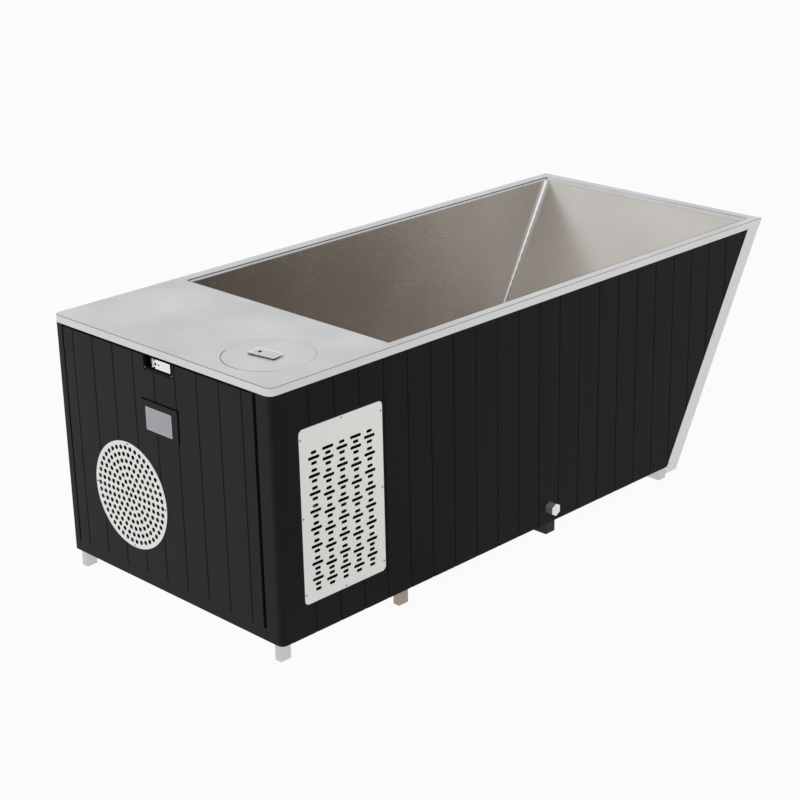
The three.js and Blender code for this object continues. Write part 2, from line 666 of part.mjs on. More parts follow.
function addHatch() {
  add('hatch_lid', rodZ(HATCH_X, hatchY, HATCH_R, deckUnder, HEIGHT, FINE), STEEL);
  const handle = new THREE.Group();
  handle.position.set(HATCH_X + HANDLE_OFF_X, hatchY + HANDLE_OFF_Y, HEIGHT);
  handle.rotation.z = THREE.MathUtils.degToRad(HANDLE_TURN);
  tub.add(handle);
  const baseTop = FIT + HANDLE_BASE_SHEET;
  const axisY = HANDLE_LENGTH / 2 - HANDLE_BARREL_R;
  const axisZ = baseTop + FIT + HANDLE_BARREL_R;
  const [half, knuckle] = [HANDLE_WIDTH / 2, HANDLE_KNUCKLE / 2];
  const rod = (r, x0, x1) => rodX(axisY, axisZ, r, x0, x1, TUBE_SIDES);
  const baseHalf = HANDLE_BASE_WIDTH / 2;
  const base = box(-baseHalf, baseHalf, HANDLE_OVERHANG - HANDLE_LENGTH / 2, HANDLE_LENGTH / 2, FIT, baseTop);
  const post = box(FIT - knuckle, knuckle - FIT, axisY - HANDLE_BARREL_R, axisY + HANDLE_BARREL_R, FIT, axisZ);
  const eye = rod(HANDLE_BARREL_R, FIT - knuckle, knuckle - FIT);
  add('handle_base', join(base, post, eye, rod(HANDLE_PIN_R, -half, half)), STEEL, handle);

  const flap = box(-half, half, -HANDLE_LENGTH / 2, axisY, axisZ - HANDLE_SHEET / 2, axisZ + HANDLE_SHEET / 2);
  const gap = box(-knuckle, knuckle, axisY - HANDLE_BARREL_R - FIT, HANDLE_LENGTH, 0, HANDLE_LENGTH);
  const barrels = rod(HANDLE_BARREL_R, -half, half);
  const bore = rod(HANDLE_PIN_R + FIT, -HANDLE_WIDTH, HANDLE_WIDTH);
  add('handle_flap', cut(join(flap, barrels), gap, bore), STEEL, handle);
}

function addFrame() {
  const footOuter = WIDTH / 2 - FOOT_INSET;
  for (const side of [NEAR, FAR]) {
    const name = sideName(side);
    const foot = (x) => (
      onSide(side, box, x, x + FOOT_LENGTH, footOuter - FOOT_WIDTH, footOuter, 0, FOOT_HEIGHT)
    );
    add(`front_foot_${name}`, foot(postFront + FOOT_SETBACK), STEEL);
    add(`mid_foot_${name}`, foot(DECK - SHEET), STEEL);
    const rail = [postBack + FIT, railEnd, boardInner - RAIL_WIDTH, boardInner, FOOT_HEIGHT, railTop];
    const railTube = cut(onSide(side, box, ...rail), onSide(side, boreX, ...rail));
    add(`base_rail_${name}`, railTube, GALVANISED);
    const uprightBack = uprightFront + UPRIGHT_DEPTH;
    const edge = side === NEAR ? -panelNear : panelFar;
    const upright = [uprightFront, uprightBack, edge - UPRIGHT_WIDTH, edge, sillTop, deckUnder];
    const uprightTube = cut(onSide(side, box, ...upright), onSide(side, boreZ, ...upright));
    add(`bay_upright_${name}`, uprightTube, GALVANISED);
  }
  const beamHalf = WIDTH / 2 - BEAM_INSET;
  const beam = (x, width) => box(x - width / 2, x + width / 2, -beamHalf, beamHalf, 0, FOOT_HEIGHT);
  add('middle_beam', beam(MIDDLE_BEAM_X, MIDDLE_BEAM), BLACK_PAINT);
  add('rear_beam', beam(rearBeamX, REAR_BEAM), STEEL);
  bearerFronts.forEach((x, i) => {
    const half = basinHalf - FIT;
    add(`basin_bearer_${i + 1}`, box(x, x + BEARER_WIDTH, -half, half, railTop, bearerTop), GALVANISED);
  });
  const panFront = uprightFront + UPRIGHT_DEPTH + FIT;
  const panHalf = boardInner - FIT;
  add('base_pan', box(panFront, bulkhead - FIT, -panHalf, panHalf, railTop, panTop), GALVANISED);
}

const shroudFront = panelBack + SHROUD_GAP;
const shroudBack = shroudFront + SHROUD_SHEET + SHROUD_DEPTH;
const shroudR = FAN_R + FAN_TIP_GAP;
const motorBack = shroudBack + MOTOR_BAR_SHEET + MOTOR_DEPTH;
const condenserFront = motorBack + PIECE_GAP;

function addFan() {
  const plate = box(
    shroudFront, shroudFront + SHROUD_SHEET, FAN_Y - SHROUD_HALF, FAN_Y + SHROUD_HALF,
    bayFloor, FAN_Z + SHROUD_HALF,
  );
  const duct = rodX(FAN_Y, FAN_Z, shroudR + SHROUD_RING, shroudFront, shroudBack, FINE / 2);
  const throat = rodX(FAN_Y, FAN_Z, shroudR, 0, LENGTH, FINE / 2);
  add('fan_shroud', cut(join(plate, duct), throat), BLACK_PAINT);

  const reach = shroudR + SHROUD_RING;
  const barBack = shroudBack + MOTOR_BAR_SHEET;
  const half = MOTOR_BAR / 2;
  const upBar = box(shroudBack, barBack, FAN_Y - half, FAN_Y + half, FAN_Z - reach, FAN_Z + reach);
  const crossBar = box(shroudBack, barBack, FAN_Y - reach, FAN_Y + reach, FAN_Z - half, FAN_Z + half);
  const hubBack = shroudBack - FIT;
  const hubFront = hubBack - FAN_HUB_DEPTH;
  const shaft = rodX(FAN_Y, FAN_Z, FAN_SHAFT_R, hubFront + FAN_SHAFT_R, barBack);
  const motor = rodX(FAN_Y, FAN_Z, MOTOR_R, barBack - FIT, motorBack);
  add('fan_motor', join(upBar, crossBar, motor, shaft), PUMP_BLACK);

  const hub = rodX(FAN_Y, FAN_Z, FAN_HUB_R, hubFront, hubBack);
  const bore = rodX(FAN_Y, FAN_Z, FAN_SHAFT_R + FIT, hubFront + FAN_SHAFT_R - FIT, LENGTH);
  const root = FAN_HUB_R - FAN_BLADE_SHEET;
  const blades = Array.from({ length: FAN_BLADES }, (_, i) => {
    const blade = new THREE.BoxGeometry(FAN_BLADE_SHEET, FAN_BLADE_CHORD, FAN_R - root);
    blade.translate(0, 0, (FAN_R + root) / 2).rotateZ(THREE.MathUtils.degToRad(90 - FAN_BLADE_PITCH));
    blade.rotateX((i * 2 * Math.PI) / FAN_BLADES);
    return blade.translate((hubFront + hubBack) / 2, FAN_Y, FAN_Z);
  });
  const sweep = rodX(FAN_Y, FAN_Z, FAN_R, hubFront, hubBack, FINE / 2);
  const bladeDisc = blades.map((blade) => common(blade, sweep));
  add('fan_rotor', cut(join(hub, ...bladeDisc), bore), PUMP_BLACK);
}

function addChiller() {
  const condenserBack = condenserFront + CONDENSER_DEPTH;
  const [low, high] = [FAN_Y - SHROUD_HALF, FAN_Y + SHROUD_HALF];
  const condenserTop = FAN_Z + SHROUD_HALF;
  const finPitch = (high - low) / CONDENSER_FINS;
  const fins = Array.from({ length: CONDENSER_FINS - 1 }, (_, i) => low + (i + 1) * finPitch).flatMap((y) => [
    [condenserFront, y - finPitch / 4], [condenserFront + CONDENSER_FIN_DEPTH, y - finPitch / 4],
    [condenserFront + CONDENSER_FIN_DEPTH, y + finPitch / 4], [condenserFront, y + finPitch / 4],
  ]);
  const plan = [
    [condenserBack, low], [condenserFront, low], ...fins, [condenserFront, high], [condenserBack, high],
  ];
  add('condenser_coil', prismZ(plan, bayFloor, condenserTop), FIN_ALUMINIUM);

  const compressorX = bulkhead - PIECE_GAP - COMPRESSOR_R;
  const compressorTop = bayFloor + COMPRESSOR_HEIGHT;
  const shoulder = COMPRESSOR_HEIGHT - COMPRESSOR_DOME;
  const body = turned(compressorX, compressorY, bayFloor, [
    [0, 0], [COMPRESSOR_BASE_R, 0], [COMPRESSOR_R, COMPRESSOR_DOME / 2], [COMPRESSOR_R, shoulder],
    [COMPRESSOR_BASE_R, shoulder + COMPRESSOR_BEND], [COMPRESSOR_CROWN_R, COMPRESSOR_HEIGHT],
    [0, COMPRESSOR_HEIGHT],
  ]);
  const portEnd = compressorTop + LINE_PORT;
  const [dischargeY, suctionY] = [compressorY + COMPRESSOR_PORT_AT, compressorY - COMPRESSOR_PORT_AT];
  const portLow = compressorTop - COMPRESSOR_DOME / 2;
  const linePort = (y) => rodZ(compressorX, y, LINE_PORT_R, portLow, portEnd, TUBE_SIDES);
  add('compressor', join(body, linePort(dischargeY), linePort(suctionY)), PUMP_BLACK);

  const exchangerX = bulkhead - PIECE_GAP - EXCHANGER_R;
  const exchangerTop = bayFloor + EXCHANGER_HEIGHT;
  const tank = turned(exchangerX, exchangerY, bayFloor, [
    [0, 0], [EXCHANGER_R - EXCHANGER_SHOULDER, 0], [EXCHANGER_R, EXCHANGER_SHOULDER],
    [EXCHANGER_R, EXCHANGER_HEIGHT - EXCHANGER_SHOULDER],
    [EXCHANGER_R - EXCHANGER_SHOULDER, EXCHANGER_HEIGHT], [0, EXCHANGER_HEIGHT],
  ]);
  const inZ = bayFloor + EXCHANGER_IN_RISE;
  const liquidZ = bayFloor + LIQUID_RISE;
  const suctionLineZ = bayFloor + SUCTION_LINE_RISE;
  const inletEnd = exchangerY - EXCHANGER_R - PORT;
  const outletEnd = exchangerTop + PORT;
  const liquidEnd = exchangerX - EXCHANGER_R - LINE_PORT;
  const suctionLineEnd = exchangerY + EXCHANGER_R + LINE_PORT;
  add('heat_exchanger', join(
    tank,
    rodY(exchangerX, inZ, PORT_R, inletEnd, exchangerY),
    rodZ(exchangerX, exchangerY, PORT_R, exchangerTop - PORT, outletEnd),
    rodX(exchangerY, liquidZ, LINE_PORT_R, liquidEnd, exchangerX, TUBE_SIDES),
    rodY(exchangerX, suctionLineZ, LINE_PORT_R, exchangerY, suctionLineEnd, TUBE_SIDES),
  ), HOUSING_WHITE);

  const condenserMid = (condenserFront + condenserBack) / 2;
  const highRun = compressorTop + LINE_LIFT;
  const overCondenser = Math.max(highRun, condenserTop + LINE_PORT * 4);
  add('discharge_line', tube([
    [compressorX, dischargeY, portEnd + FIT], [compressorX, dischargeY, (portEnd + overCondenser) / 2],
    [compressorX - COMPRESSOR_R / 2, dischargeY, overCondenser],
    [condenserMid + CONDENSER_DEPTH, dischargeY, overCondenser],
    [condenserMid, dischargeY, (condenserTop + overCondenser) / 2],
    [condenserMid, dischargeY, condenserTop + FIT],
  ], LINE_R), COPPER);
  add('liquid_line', tube([
    [condenserBack + FIT, exchangerY, liquidZ], [(condenserBack + liquidEnd) / 2, exchangerY, liquidZ],
    [liquidEnd - FIT, exchangerY, liquidZ],
  ], LINE_R), COPPER);
  const bendZ = Math.max(suctionLineZ, portEnd + 4 * LINE_R);
  add('suction_line', tube([
    [exchangerX, suctionLineEnd + FIT, suctionLineZ], [exchangerX, suctionLineEnd + 3 * LINE_R, suctionLineZ],
    [compressorX, suctionY - LINE_R, bendZ], [compressorX, suctionY, portEnd + 2 * LINE_R],
    [compressorX, suctionY, portEnd + FIT],
  ], LINE_R), COPPER);

  const controlTop = deckUnder - CONTROL_DROP;
  add('control_box', box(
    bulkhead - CONTROL_DEPTH, bulkhead, CONTROL_Y - CONTROL_WIDTH / 2, CONTROL_Y + CONTROL_WIDTH / 2,
    controlTop - CONTROL_HEIGHT, controlTop,
  ), HOUSING_WHITE);
  return { exchangerX, inletEnd, inZ, outletEnd };
}

function addWaterCircuit({ exchangerX, inletEnd, inZ, outletEnd }) {
  const filterTop = HEIGHT - FILTER_DROP;
  const filterHeight = filterTop - bayFloor;
  const shell = turned(HATCH_X, hatchY, bayFloor, [
    [0, 0], [FILTER_R, 0], [FILTER_R, filterHeight], [FILTER_R - FILTER_WALL, filterHeight],
    [FILTER_R - FILTER_WALL, FILTER_WALL], [0, FILTER_WALL],
  ]);
  const filterInZ = bayFloor + FILTER_IN_RISE;
  const filterOutZ = bayFloor + FILTER_OUT_RISE;
  const wallMid = FILTER_R - FILTER_WALL / 2;
  const inEnd = hatchY + FILTER_R + PORT;
  const outEnd = HATCH_X + FILTER_R + PORT;
  const inPort = rodY(HATCH_X, filterInZ, PORT_R, hatchY + wallMid, inEnd);
  const outPort = rodX(hatchY, filterOutZ, PORT_R, HATCH_X + wallMid, outEnd);
  const hollow = rodZ(HATCH_X, hatchY, FILTER_R - FILTER_WALL, bayFloor + FILTER_WALL, HEIGHT);
  add('filter_housing', cut(join(shell, inPort, outPort), hollow), HOUSING_WHITE);

  const cartridgeLow = bayFloor + FILTER_WALL + FIT;
  const pleats = ring(HATCH_X, hatchY, 1, 2 * CARTRIDGE_PLEATS).map(([x, y], i) => {
    const r = CARTRIDGE_R - (i % 2) * CARTRIDGE_PLEAT_DEPTH;
    return [HATCH_X + (x - HATCH_X) * r, hatchY + (y - hatchY) * r];
  });
  const core = ring(HATCH_X, hatchY, CARTRIDGE_CORE_R, ROUND);
  add('filter_cartridge', prismZ(pleats, cartridgeLow, filterTop - CARTRIDGE_HEADROOM, [core]), FILTER_WHITE);

  const capLow = filterTop + FIT;
  add('filter_cap', join(
    rodZ(HATCH_X, hatchY, FILTER_R + CAP_BORDER, capLow, capLow + CAP_SHEET),
    rodZ(HATCH_X, hatchY, FILTER_R - FILTER_WALL - CAP_BORDER, capLow - CAP_PLUG, capLow),
    box(
      HATCH_X - CAP_GRIP_LENGTH / 2, HATCH_X + CAP_GRIP_LENGTH / 2, hatchY - CAP_GRIP_WIDTH / 2,
      hatchY + CAP_GRIP_WIDTH / 2, capLow, capLow + CAP_SHEET + CAP_GRIP_HEIGHT,
    ),
  ), PUMP_BLACK);

  const pumpZ = bayFloor + PUMP_FOOT + PUMP_VOLUTE_R;
  const inlet = bulkhead - PUMP_HOSE_RUN;
  const voluteBack = inlet - PORT;
  const voluteFront = voluteBack - PUMP_VOLUTE;
  const voluteMid = (voluteFront + voluteBack) / 2;
  const outlet = pumpZ + PUMP_VOLUTE_R + PORT;
  const motorFront = voluteFront - PUMP_MOTOR;
  add('circulation_pump', join(
    rodX(pumpY, pumpZ, PUMP_R, motorFront, voluteFront + PORT),
    rodX(pumpY, pumpZ, PUMP_VOLUTE_R, voluteFront, voluteBack),
    rodX(pumpY, pumpZ, PORT_R, voluteMid, inlet),
    rodZ(voluteMid, pumpY, PORT_R, pumpZ, outlet),
    box(motorFront + PORT, voluteBack, pumpY - PUMP_R / 2, pumpY + PUMP_R / 2, bayFloor, pumpZ),
  ), PUMP_BLACK);

  const fitting = (y, z) => cut(
    join(
      rodX(y, z, FITTING_R, fittingEnd, DECK + FITTING_FLANGE),
      rodX(y, z, FITTING_FLANGE_R, DECK, DECK + FITTING_FLANGE),
      rodX(y, z, FITTING_NUT_R, bulkhead - FITTING_NUT, bulkhead, 6),
    ),
    rodX(y, z, FITTING_BORE_R, bulkhead, LENGTH),
  );
  add('suction_fitting', fitting(pumpY, suctionZ), STEEL);
  add('return_fitting', fitting(exchangerY, returnZ), STEEL);

  const suctionRun = fittingEnd - inlet;
  add('suction_hose', tube([
    [fittingEnd - FIT, pumpY, suctionZ], [fittingEnd - suctionRun / 4, pumpY, suctionZ],
    [inlet + suctionRun / 4, pumpY, pumpZ], [inlet + FIT, pumpY, pumpZ],
  ], HOSE_R), HOSE_GREY);
  add('pump_hose', tube([
    [voluteMid, pumpY, outlet + FIT], [voluteMid, pumpY, (outlet + filterInZ) / 2],
    [(voluteMid + HATCH_X) / 2, pumpY, filterInZ], [HATCH_X + HOSE_R, inEnd + 2 * HOSE_R, filterInZ],
    [HATCH_X, inEnd + HOSE_R, filterInZ], [HATCH_X, inEnd + FIT, filterInZ],
  ], HOSE_R), HOSE_GREY);
  add('filter_hose', tube([
    [outEnd + FIT, hatchY, filterOutZ], [(outEnd + exchangerX) / 2, hatchY, filterOutZ],
    [exchangerX, hatchY + 3 * HOSE_R, (filterOutZ + inZ) / 2], [exchangerX, inletEnd - 2 * HOSE_R, inZ],
    [exchangerX, inletEnd - FIT, inZ],
  ], HOSE_R), HOSE_GREY);
  add('return_hose', tube([
    [exchangerX, exchangerY, outletEnd + FIT], [exchangerX, exchangerY, (outletEnd + returnZ) / 2],
    [exchangerX + HOSE_R / 2, exchangerY, returnZ - 2 * HOSE_R], [fittingEnd - HOSE_R, exchangerY, returnZ],
    [fittingEnd - FIT, exchangerY, returnZ],
  ], HOSE_R), HOSE_GREY);
}

function addDrain() {
  const capStart = -boardOuter - FIT;
  const capTip = capStart - CAP_LENGTH;
  const pipeEnd = capTip + CAP_END + FIT;
  const sumpLow = drainZ - DRAIN_PIPE_R;
  add('drain_fitting', cut(
    join(
      rodZ(DRAIN_X, DRAIN_Y, SUMP_R, sumpLow, BASIN_FLOOR + DRAIN_FLANGE),
      rodZ(DRAIN_X, DRAIN_Y, DRAIN_FLANGE_R, BASIN_FLOOR, BASIN_FLOOR + DRAIN_FLANGE),
      rodY(DRAIN_X, drainZ, DRAIN_PIPE_R, pipeEnd, DRAIN_Y),
    ),
    rodZ(DRAIN_X, DRAIN_Y, SUMP_R - SUMP_WALL, drainZ, HEIGHT),
  ), STEEL);
  const hexR = CAP_HEX / Math.sqrt(3);
  add('drain_cap', cut(
    rodY(DRAIN_X, drainZ, hexR, capTip, capStart, 6),
    rodY(DRAIN_X, drainZ, DRAIN_PIPE_R + FIT, capTip + CAP_END, 0),
  ), CHROME);
}

addDeck();
addBasin();
addInsulation();
addCladding();
addEndTrims();
addFrontPosts();
addAccessPanel();
addLatch();
addSideGrille();
addHatch();
addFrame();
addFan();
addWaterCircuit(addChiller());
addDrain();

export default tub;
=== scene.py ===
"""Studio scene of a cold plunge tub with a built-in chiller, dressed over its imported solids."""

import logging
import math
from dataclasses import dataclass
from enum import Enum
from typing import Any, Callable, Dict, Iterable, List, Optional, Sequence, Tuple, Union

import bmesh
import bpy
from mathutils import Matrix, Vector


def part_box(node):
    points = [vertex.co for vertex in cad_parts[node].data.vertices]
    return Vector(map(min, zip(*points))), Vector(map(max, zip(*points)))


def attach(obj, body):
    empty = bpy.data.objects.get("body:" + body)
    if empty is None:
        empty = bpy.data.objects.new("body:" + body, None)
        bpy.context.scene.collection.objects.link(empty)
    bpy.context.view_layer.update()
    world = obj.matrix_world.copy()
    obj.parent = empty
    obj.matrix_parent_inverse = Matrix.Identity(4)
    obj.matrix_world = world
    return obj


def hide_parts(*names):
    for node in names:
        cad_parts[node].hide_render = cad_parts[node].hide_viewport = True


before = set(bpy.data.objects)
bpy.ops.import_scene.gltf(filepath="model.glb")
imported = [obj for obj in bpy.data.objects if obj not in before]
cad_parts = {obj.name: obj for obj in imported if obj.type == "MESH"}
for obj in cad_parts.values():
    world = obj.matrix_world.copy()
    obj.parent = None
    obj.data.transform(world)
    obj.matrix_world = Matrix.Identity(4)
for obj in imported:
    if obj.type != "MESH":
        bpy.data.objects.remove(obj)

LOG = logging.getLogger("plunge_tub")
MM = 0.001
SHARP = math.radians(35)  # an edge that turns more than this is eased
SHADED = math.radians(40)  # an edge that turns more than this is shaded sharp
FLAT = math.radians(0.5)  # faces that turn less than this are one flat face
MERGE = 0.01 * MM  # points closer than this are one
UPWARD = 0.9  # the least upward part of an upper face's normal
SLOT_SIDES = 12  # sides of a slot's two round ends together
Colour = Tuple[float, float, float]
Edge = bmesh.types.BMEdge
Mesh = bmesh.types.BMesh


class Graph:
    """The node tree of a material or a world, built from Python expressions."""

    def __init__(self, owner: Union[bpy.types.Material, bpy.types.World]) -> None:
        """Start with an empty tree.

        Args:
            owner: the material or world that the tree belongs to.
        """
        self.owner = owner
        owner.use_nodes = True
        self.tree = owner.node_tree
        self.tree.nodes.clear()

    def node(
        self,
        kind: str,
        settings: Optional[Dict[str, Any]] = None,
        sockets: Optional[Dict[Union[str, int], Any]] = None,
        output: Union[str, int] = 0,
    ) -> "Wire":
        """Add one node.

        Args:
            kind: the node's type name.
            settings: its own properties.
            sockets: values or wires for its inputs, by name or number.
            output: which output the returned wire is.

        Returns:
            A wire from that output.
        """
        made = self.tree.nodes.new(kind)
        for key, value in (settings or {}).items():
            setattr(made, key, value)
        for key, value in (sockets or {}).items():
            if isinstance(value, Wire):
                self.tree.links.new(value.socket, made.inputs[key])
            else:
                made.inputs[key].default_value = value
        return Wire(self, made.outputs[output] if made.outputs else None)

    def blend(self, colour: Colour, tone: "Wire") -> "Wire":
        """Multiply a colour by a tone.

        Args:
            colour: the colour.
            tone: the value that it is multiplied by.

        Returns:
            The toned colour.
        """
        factor, first, second, result = 0, 6, 7, 2  # its colour sockets share their names with others
        return self.node(
            "ShaderNodeMix", {"data_type": "RGBA", "blend_type": "MULTIPLY"},
            {factor: 1.0, first: (*colour, 1.0), second: tone}, output=result,
        )

    def noise(self, place: "Wire", stretch: Sequence[float], detail: float = 3.0) -> "Wire":
        """Noise with so many cells per metre along each axis.

        Args:
            place: the coordinates it reads.
            stretch: cells per metre along X, Y and Z.
            detail: octaves.

        Returns:
            A value from 0 to 1.
        """
        scaled = self.node("ShaderNodeMapping", sockets={"Vector": place, "Scale": tuple(stretch)})
        sockets = {"Vector": scaled, "Scale": 1.0, "Detail": detail}
        return self.node("ShaderNodeTexNoise", sockets=sockets)

    def shown(self) -> "Wire":
        """Tell the rays that look from those that gather light.

        Returns:
            1 where the camera, a reflection or a clear pane looks, and otherwise 0.
        """
        rays = {
            name: self.node("ShaderNodeLightPath", output=name)
            for name in ("Is Camera Ray", "Is Glossy Ray", "Is Transmission Ray")
        }
        return rays["Is Camera Ray"] | rays["Is Glossy Ray"] | rays["Is Transmission Ray"]

    def surface(self, shader: "Wire") -> Union[bpy.types.Material, bpy.types.World]:
        """Close the tree.

        Args:
            shader: the shader that the surface gets.

        Returns:
            The tree's owner.
        """
        world = isinstance(self.owner, bpy.types.World)
        kind = "ShaderNodeOutputWorld" if world else "ShaderNodeOutputMaterial"
        self.node(kind, sockets={"Surface": shader})
        return self.owner


@dataclass(frozen=True)
class Wire:
    """One output socket; arithmetic on it adds Math nodes."""

    graph: Graph
    socket: Any

    def _math(self, operation: str, first: Any, second: Any) -> "Wire":
        """Add a Math node on two values."""
        return self.graph.node("ShaderNodeMath", {"operation": operation}, {0: first, 1: second})

    def __add__(self, other: Any) -> "Wire":
        """Sum."""
        return self._math("ADD", self, other)

    __radd__ = __add__

    def __sub__(self, other: Any) -> "Wire":
        """Difference."""
        return self._math("SUBTRACT", self, other)

    def __rsub__(self, other: Any) -> "Wire":
        """Reflected difference."""
        return self._math("SUBTRACT", other, self)

    def __mul__(self, other: Any) -> "Wire":
        """Product."""
        return self._math("MULTIPLY", self, other)

    __rmul__ = __mul__

    def __or__(self, other: Any) -> "Wire":
        """The larger of two values."""
        return self._math("MAXIMUM", self, other)


class Grain(Enum):
    """Which way a finish is drawn out, as the stretch along X, Y and Z."""

    EVEN = (1.0, 1.0, 1.0)
    ALONG_X = (0.03, 1.0, 1.0)
    ALONG_Y = (1.0, 0.03, 1.0)
    ALONG_Z = (1.0, 1.0, 0.03)


@dataclass(frozen=True)
class Finish:
    """One surface finish: a base colour with grain, slow drift and fine bump."""

    name: str
    slot: str
    colour: Colour
    roughness: float
    metallic: float = 0.0
    grain: Grain = Grain.EVEN
    grain_detail: float = 4.0  # octaves of the grain
    fineness: float = 900.0  # grain cells per metre
    grain_tone: float = 0.05  # how far the grain lightens and darkens
    drift: float = 0.06  # how far the slow drift does
    drift_cells: float = 4.0  # drift cells per metre
    rough_spread: float = 0.1  # how far both vary the roughness
    bump: float = 0.15  # strength of the grain's relief
    bump_depth: float = 0.2 * MM
    coat: float = 0.0
    specular: float = 0.5

    def make(self) -> bpy.types.Material:
        """Build the material.

        Returns:
            The finished material.
        """
        graph = Graph(bpy.data.materials.new(self.name))
        place = graph.node("ShaderNodeTexCoord", output="Object")
        stretch = [self.fineness * s for s in self.grain.value]
        grain = graph.noise(place, stretch, self.grain_detail)
        drift = graph.noise(place, [self.drift_cells] * 3)
        tone = 1.0 + (grain - 0.5) * (2 * self.grain_tone) + (drift - 0.5) * (2 * self.drift)
        uneven = (grain - 0.5) * self.rough_spread + (drift - 0.5) * self.rough_spread
        relief = graph.node("ShaderNodeBump", sockets={
            "Strength": self.bump, "Distance": self.bump_depth, "Height": grain,
        })
        return graph.surface(graph.node("ShaderNodeBsdfPrincipled", sockets={
            "Base Color": graph.blend(self.colour, tone), "Roughness": self.roughness + uneven,
            "Metallic": self.metallic, "Coat Weight": self.coat,
            "Specular IOR Level": self.specular, "Normal": relief,
        }))


STAINLESS = Finish(
    "deck_steel", "stainless", (0.56, 0.56, 0.568), roughness=0.36, metallic=1.0, grain=Grain.ALONG_X,
    fineness=1400, grain_tone=0.04, drift=0.25, drift_cells=6.0, rough_spread=0.18, bump=0.10,
)
# A dark copy of the deck steel for the eased top edge: a painted dark reflection.
EDGE_DARK_REFLECTION_STEEL = Finish(
    "edge_painted_dark_reflection", "stainless", (0.23, 0.23, 0.23), roughness=0.42, metallic=1.0, drift=0.05,
    drift_cells=5.0, bump=0.05,
)
# A lighter copy of the deck steel for the upright band: a painted reflection of the lamp and the floor.
BAND_REFLECTION_STEEL = Finish(
    "band_painted_reflection", "stainless", (0.67, 0.67, 0.665), roughness=0.36, metallic=1.0, grain=Grain.ALONG_X,
    fineness=1400, grain_tone=0.04, drift_cells=6.0, rough_spread=0.12, bump=0.10,
)
# Near black: painted shade for the gap round the bezel, the hasp's eye and the handle's slot, and the
# colour of the black strip at the foot of the notch.
SHADE_AND_LEDGE_BLACK = Finish(
    "painted_shade_and_black_ledge", "black_paint", (0.002, 0.002, 0.002), roughness=0.90, fineness=300, grain_tone=0.02,
    drift=0.02, drift_cells=20.0, rough_spread=0.05, bump=0.05, specular=0.02,
)
CAP_STEEL = Finish(
    "cap_steel", "stainless", (0.92, 0.92, 0.95), roughness=0.32, metallic=0.75, fineness=600,
    drift=0.05, drift_cells=60.0, rough_spread=0.08, bump=0.08,
)
BASIN_STEEL = Finish(
    "basin_steel", "basin_steel", (0.55, 0.521, 0.489), roughness=0.26, metallic=1.0,
    grain=Grain.ALONG_X, fineness=1200, drift=0.24, drift_cells=2.8, rough_spread=0.12, bump=0.04,
)
TRIM_STEEL = Finish(
    "trim_steel", "stainless", (0.66, 0.66, 0.65), roughness=0.34, metallic=1.0, grain=Grain.ALONG_Z,
    fineness=1400, grain_tone=0.04, drift=0.03, drift_cells=5.0, bump=0.10,
)
GRILLE_STEEL = Finish(
    "grille_steel", "stainless", (0.78, 0.77, 0.75), roughness=0.38, metallic=1.0, grain=Grain.ALONG_Z,
    fineness=1600, grain_tone=0.04, drift=0.03, drift_cells=6.0, rough_spread=0.08, bump=0.08,
)
HANDLE_STEEL = Finish(
    "handle_steel", "stainless", (0.80, 0.79, 0.76), roughness=0.36, metallic=1.0, grain=Grain.ALONG_Y,
    fineness=1800, grain_tone=0.03, drift=0.03, drift_cells=30.0, rough_spread=0.08, bump=0.08,
)
FOOT_STEEL = Finish(
    "foot_steel", "stainless", (0.62, 0.60, 0.57), roughness=0.42, metallic=1.0, grain=Grain.ALONG_Z,
    fineness=1000, grain_tone=0.06, drift_cells=12.0, bump=0.12,
)
# A dark, brown copy of the foot steel for the feet under the middle of the tub: painted shade.
SHADED_FOOT_STEEL = Finish(
    "mid_foot_painted_shade", "stainless", (0.38, 0.31, 0.255), roughness=0.44, metallic=1.0,
    grain=Grain.ALONG_Z, fineness=1000, grain_tone=0.06, drift=0.10, drift_cells=12.0, bump=0.12,
)
SCREW_STEEL = Finish(
    "screw_steel", "stainless", (0.22, 0.215, 0.21), roughness=0.40, metallic=1.0, grain_tone=0.08,
    drift_cells=40.0, bump=0.10,
)
CHROME = Finish(
    "bright_chrome", "polished_chrome", (0.80, 0.80, 0.82), roughness=0.12, metallic=1.0, fineness=600,
    grain_tone=0.02, drift=0.02, drift_cells=30.0, rough_spread=0.05, bump=0.03,
)
BOARD = Finish(
    "black_board", "black_board", (0.0215, 0.0213, 0.0240), roughness=0.46, grain=Grain.ALONG_Z,
    fineness=700, grain_tone=0.10, drift=0.10, drift_cells=3.0, bump=0.20, specular=0.06,
)
BLACK_PAINT = Finish(
    "black_paint", "black_paint", (0.010, 0.010, 0.010), roughness=0.5, fineness=1200, grain_tone=0.08,
    drift_cells=10.0, rough_spread=0.12, bump=0.25, specular=0.3,
)
BEZEL = Finish(
    "bezel_plastic", "bezel_black", (0.0215, 0.0213, 0.0240), roughness=0.42, fineness=500, drift=0.05,
    drift_cells=30.0, rough_spread=0.06, bump=0.10, specular=0.06,
)
SCREEN = Finish(
    "screen_glass", "screen_grey", (0.36, 0.37, 0.40), roughness=0.2, fineness=400, grain_tone=0.01,
    drift=0.03, drift_cells=15.0, rough_spread=0.03, bump=0.0, coat=0.4,
)
FOAM = Finish(
    "foam", "foam", (0.035, 0.035, 0.037), roughness=0.9, fineness=350, grain_tone=0.12, drift=0.08,
    drift_cells=6.0, bump=0.6, bump_depth=0.001,
)
GALVANISED = Finish(
    "galvanised_tube", "galvanised", (0.48, 0.50, 0.51), roughness=0.48, metallic=1.0, fineness=90,
    grain_tone=0.12, drift_cells=12.0, rough_spread=0.2, bump=0.06,
)
FINS = Finish(
    "coil_fins", "coil_fins", (0.55, 0.57, 0.59), roughness=0.42, metallic=1.0, grain=Grain.ALONG_Y,
    fineness=600, grain_tone=0.15, drift=0.05, drift_cells=8.0, bump=0.6, bump_depth=0.0006,
)
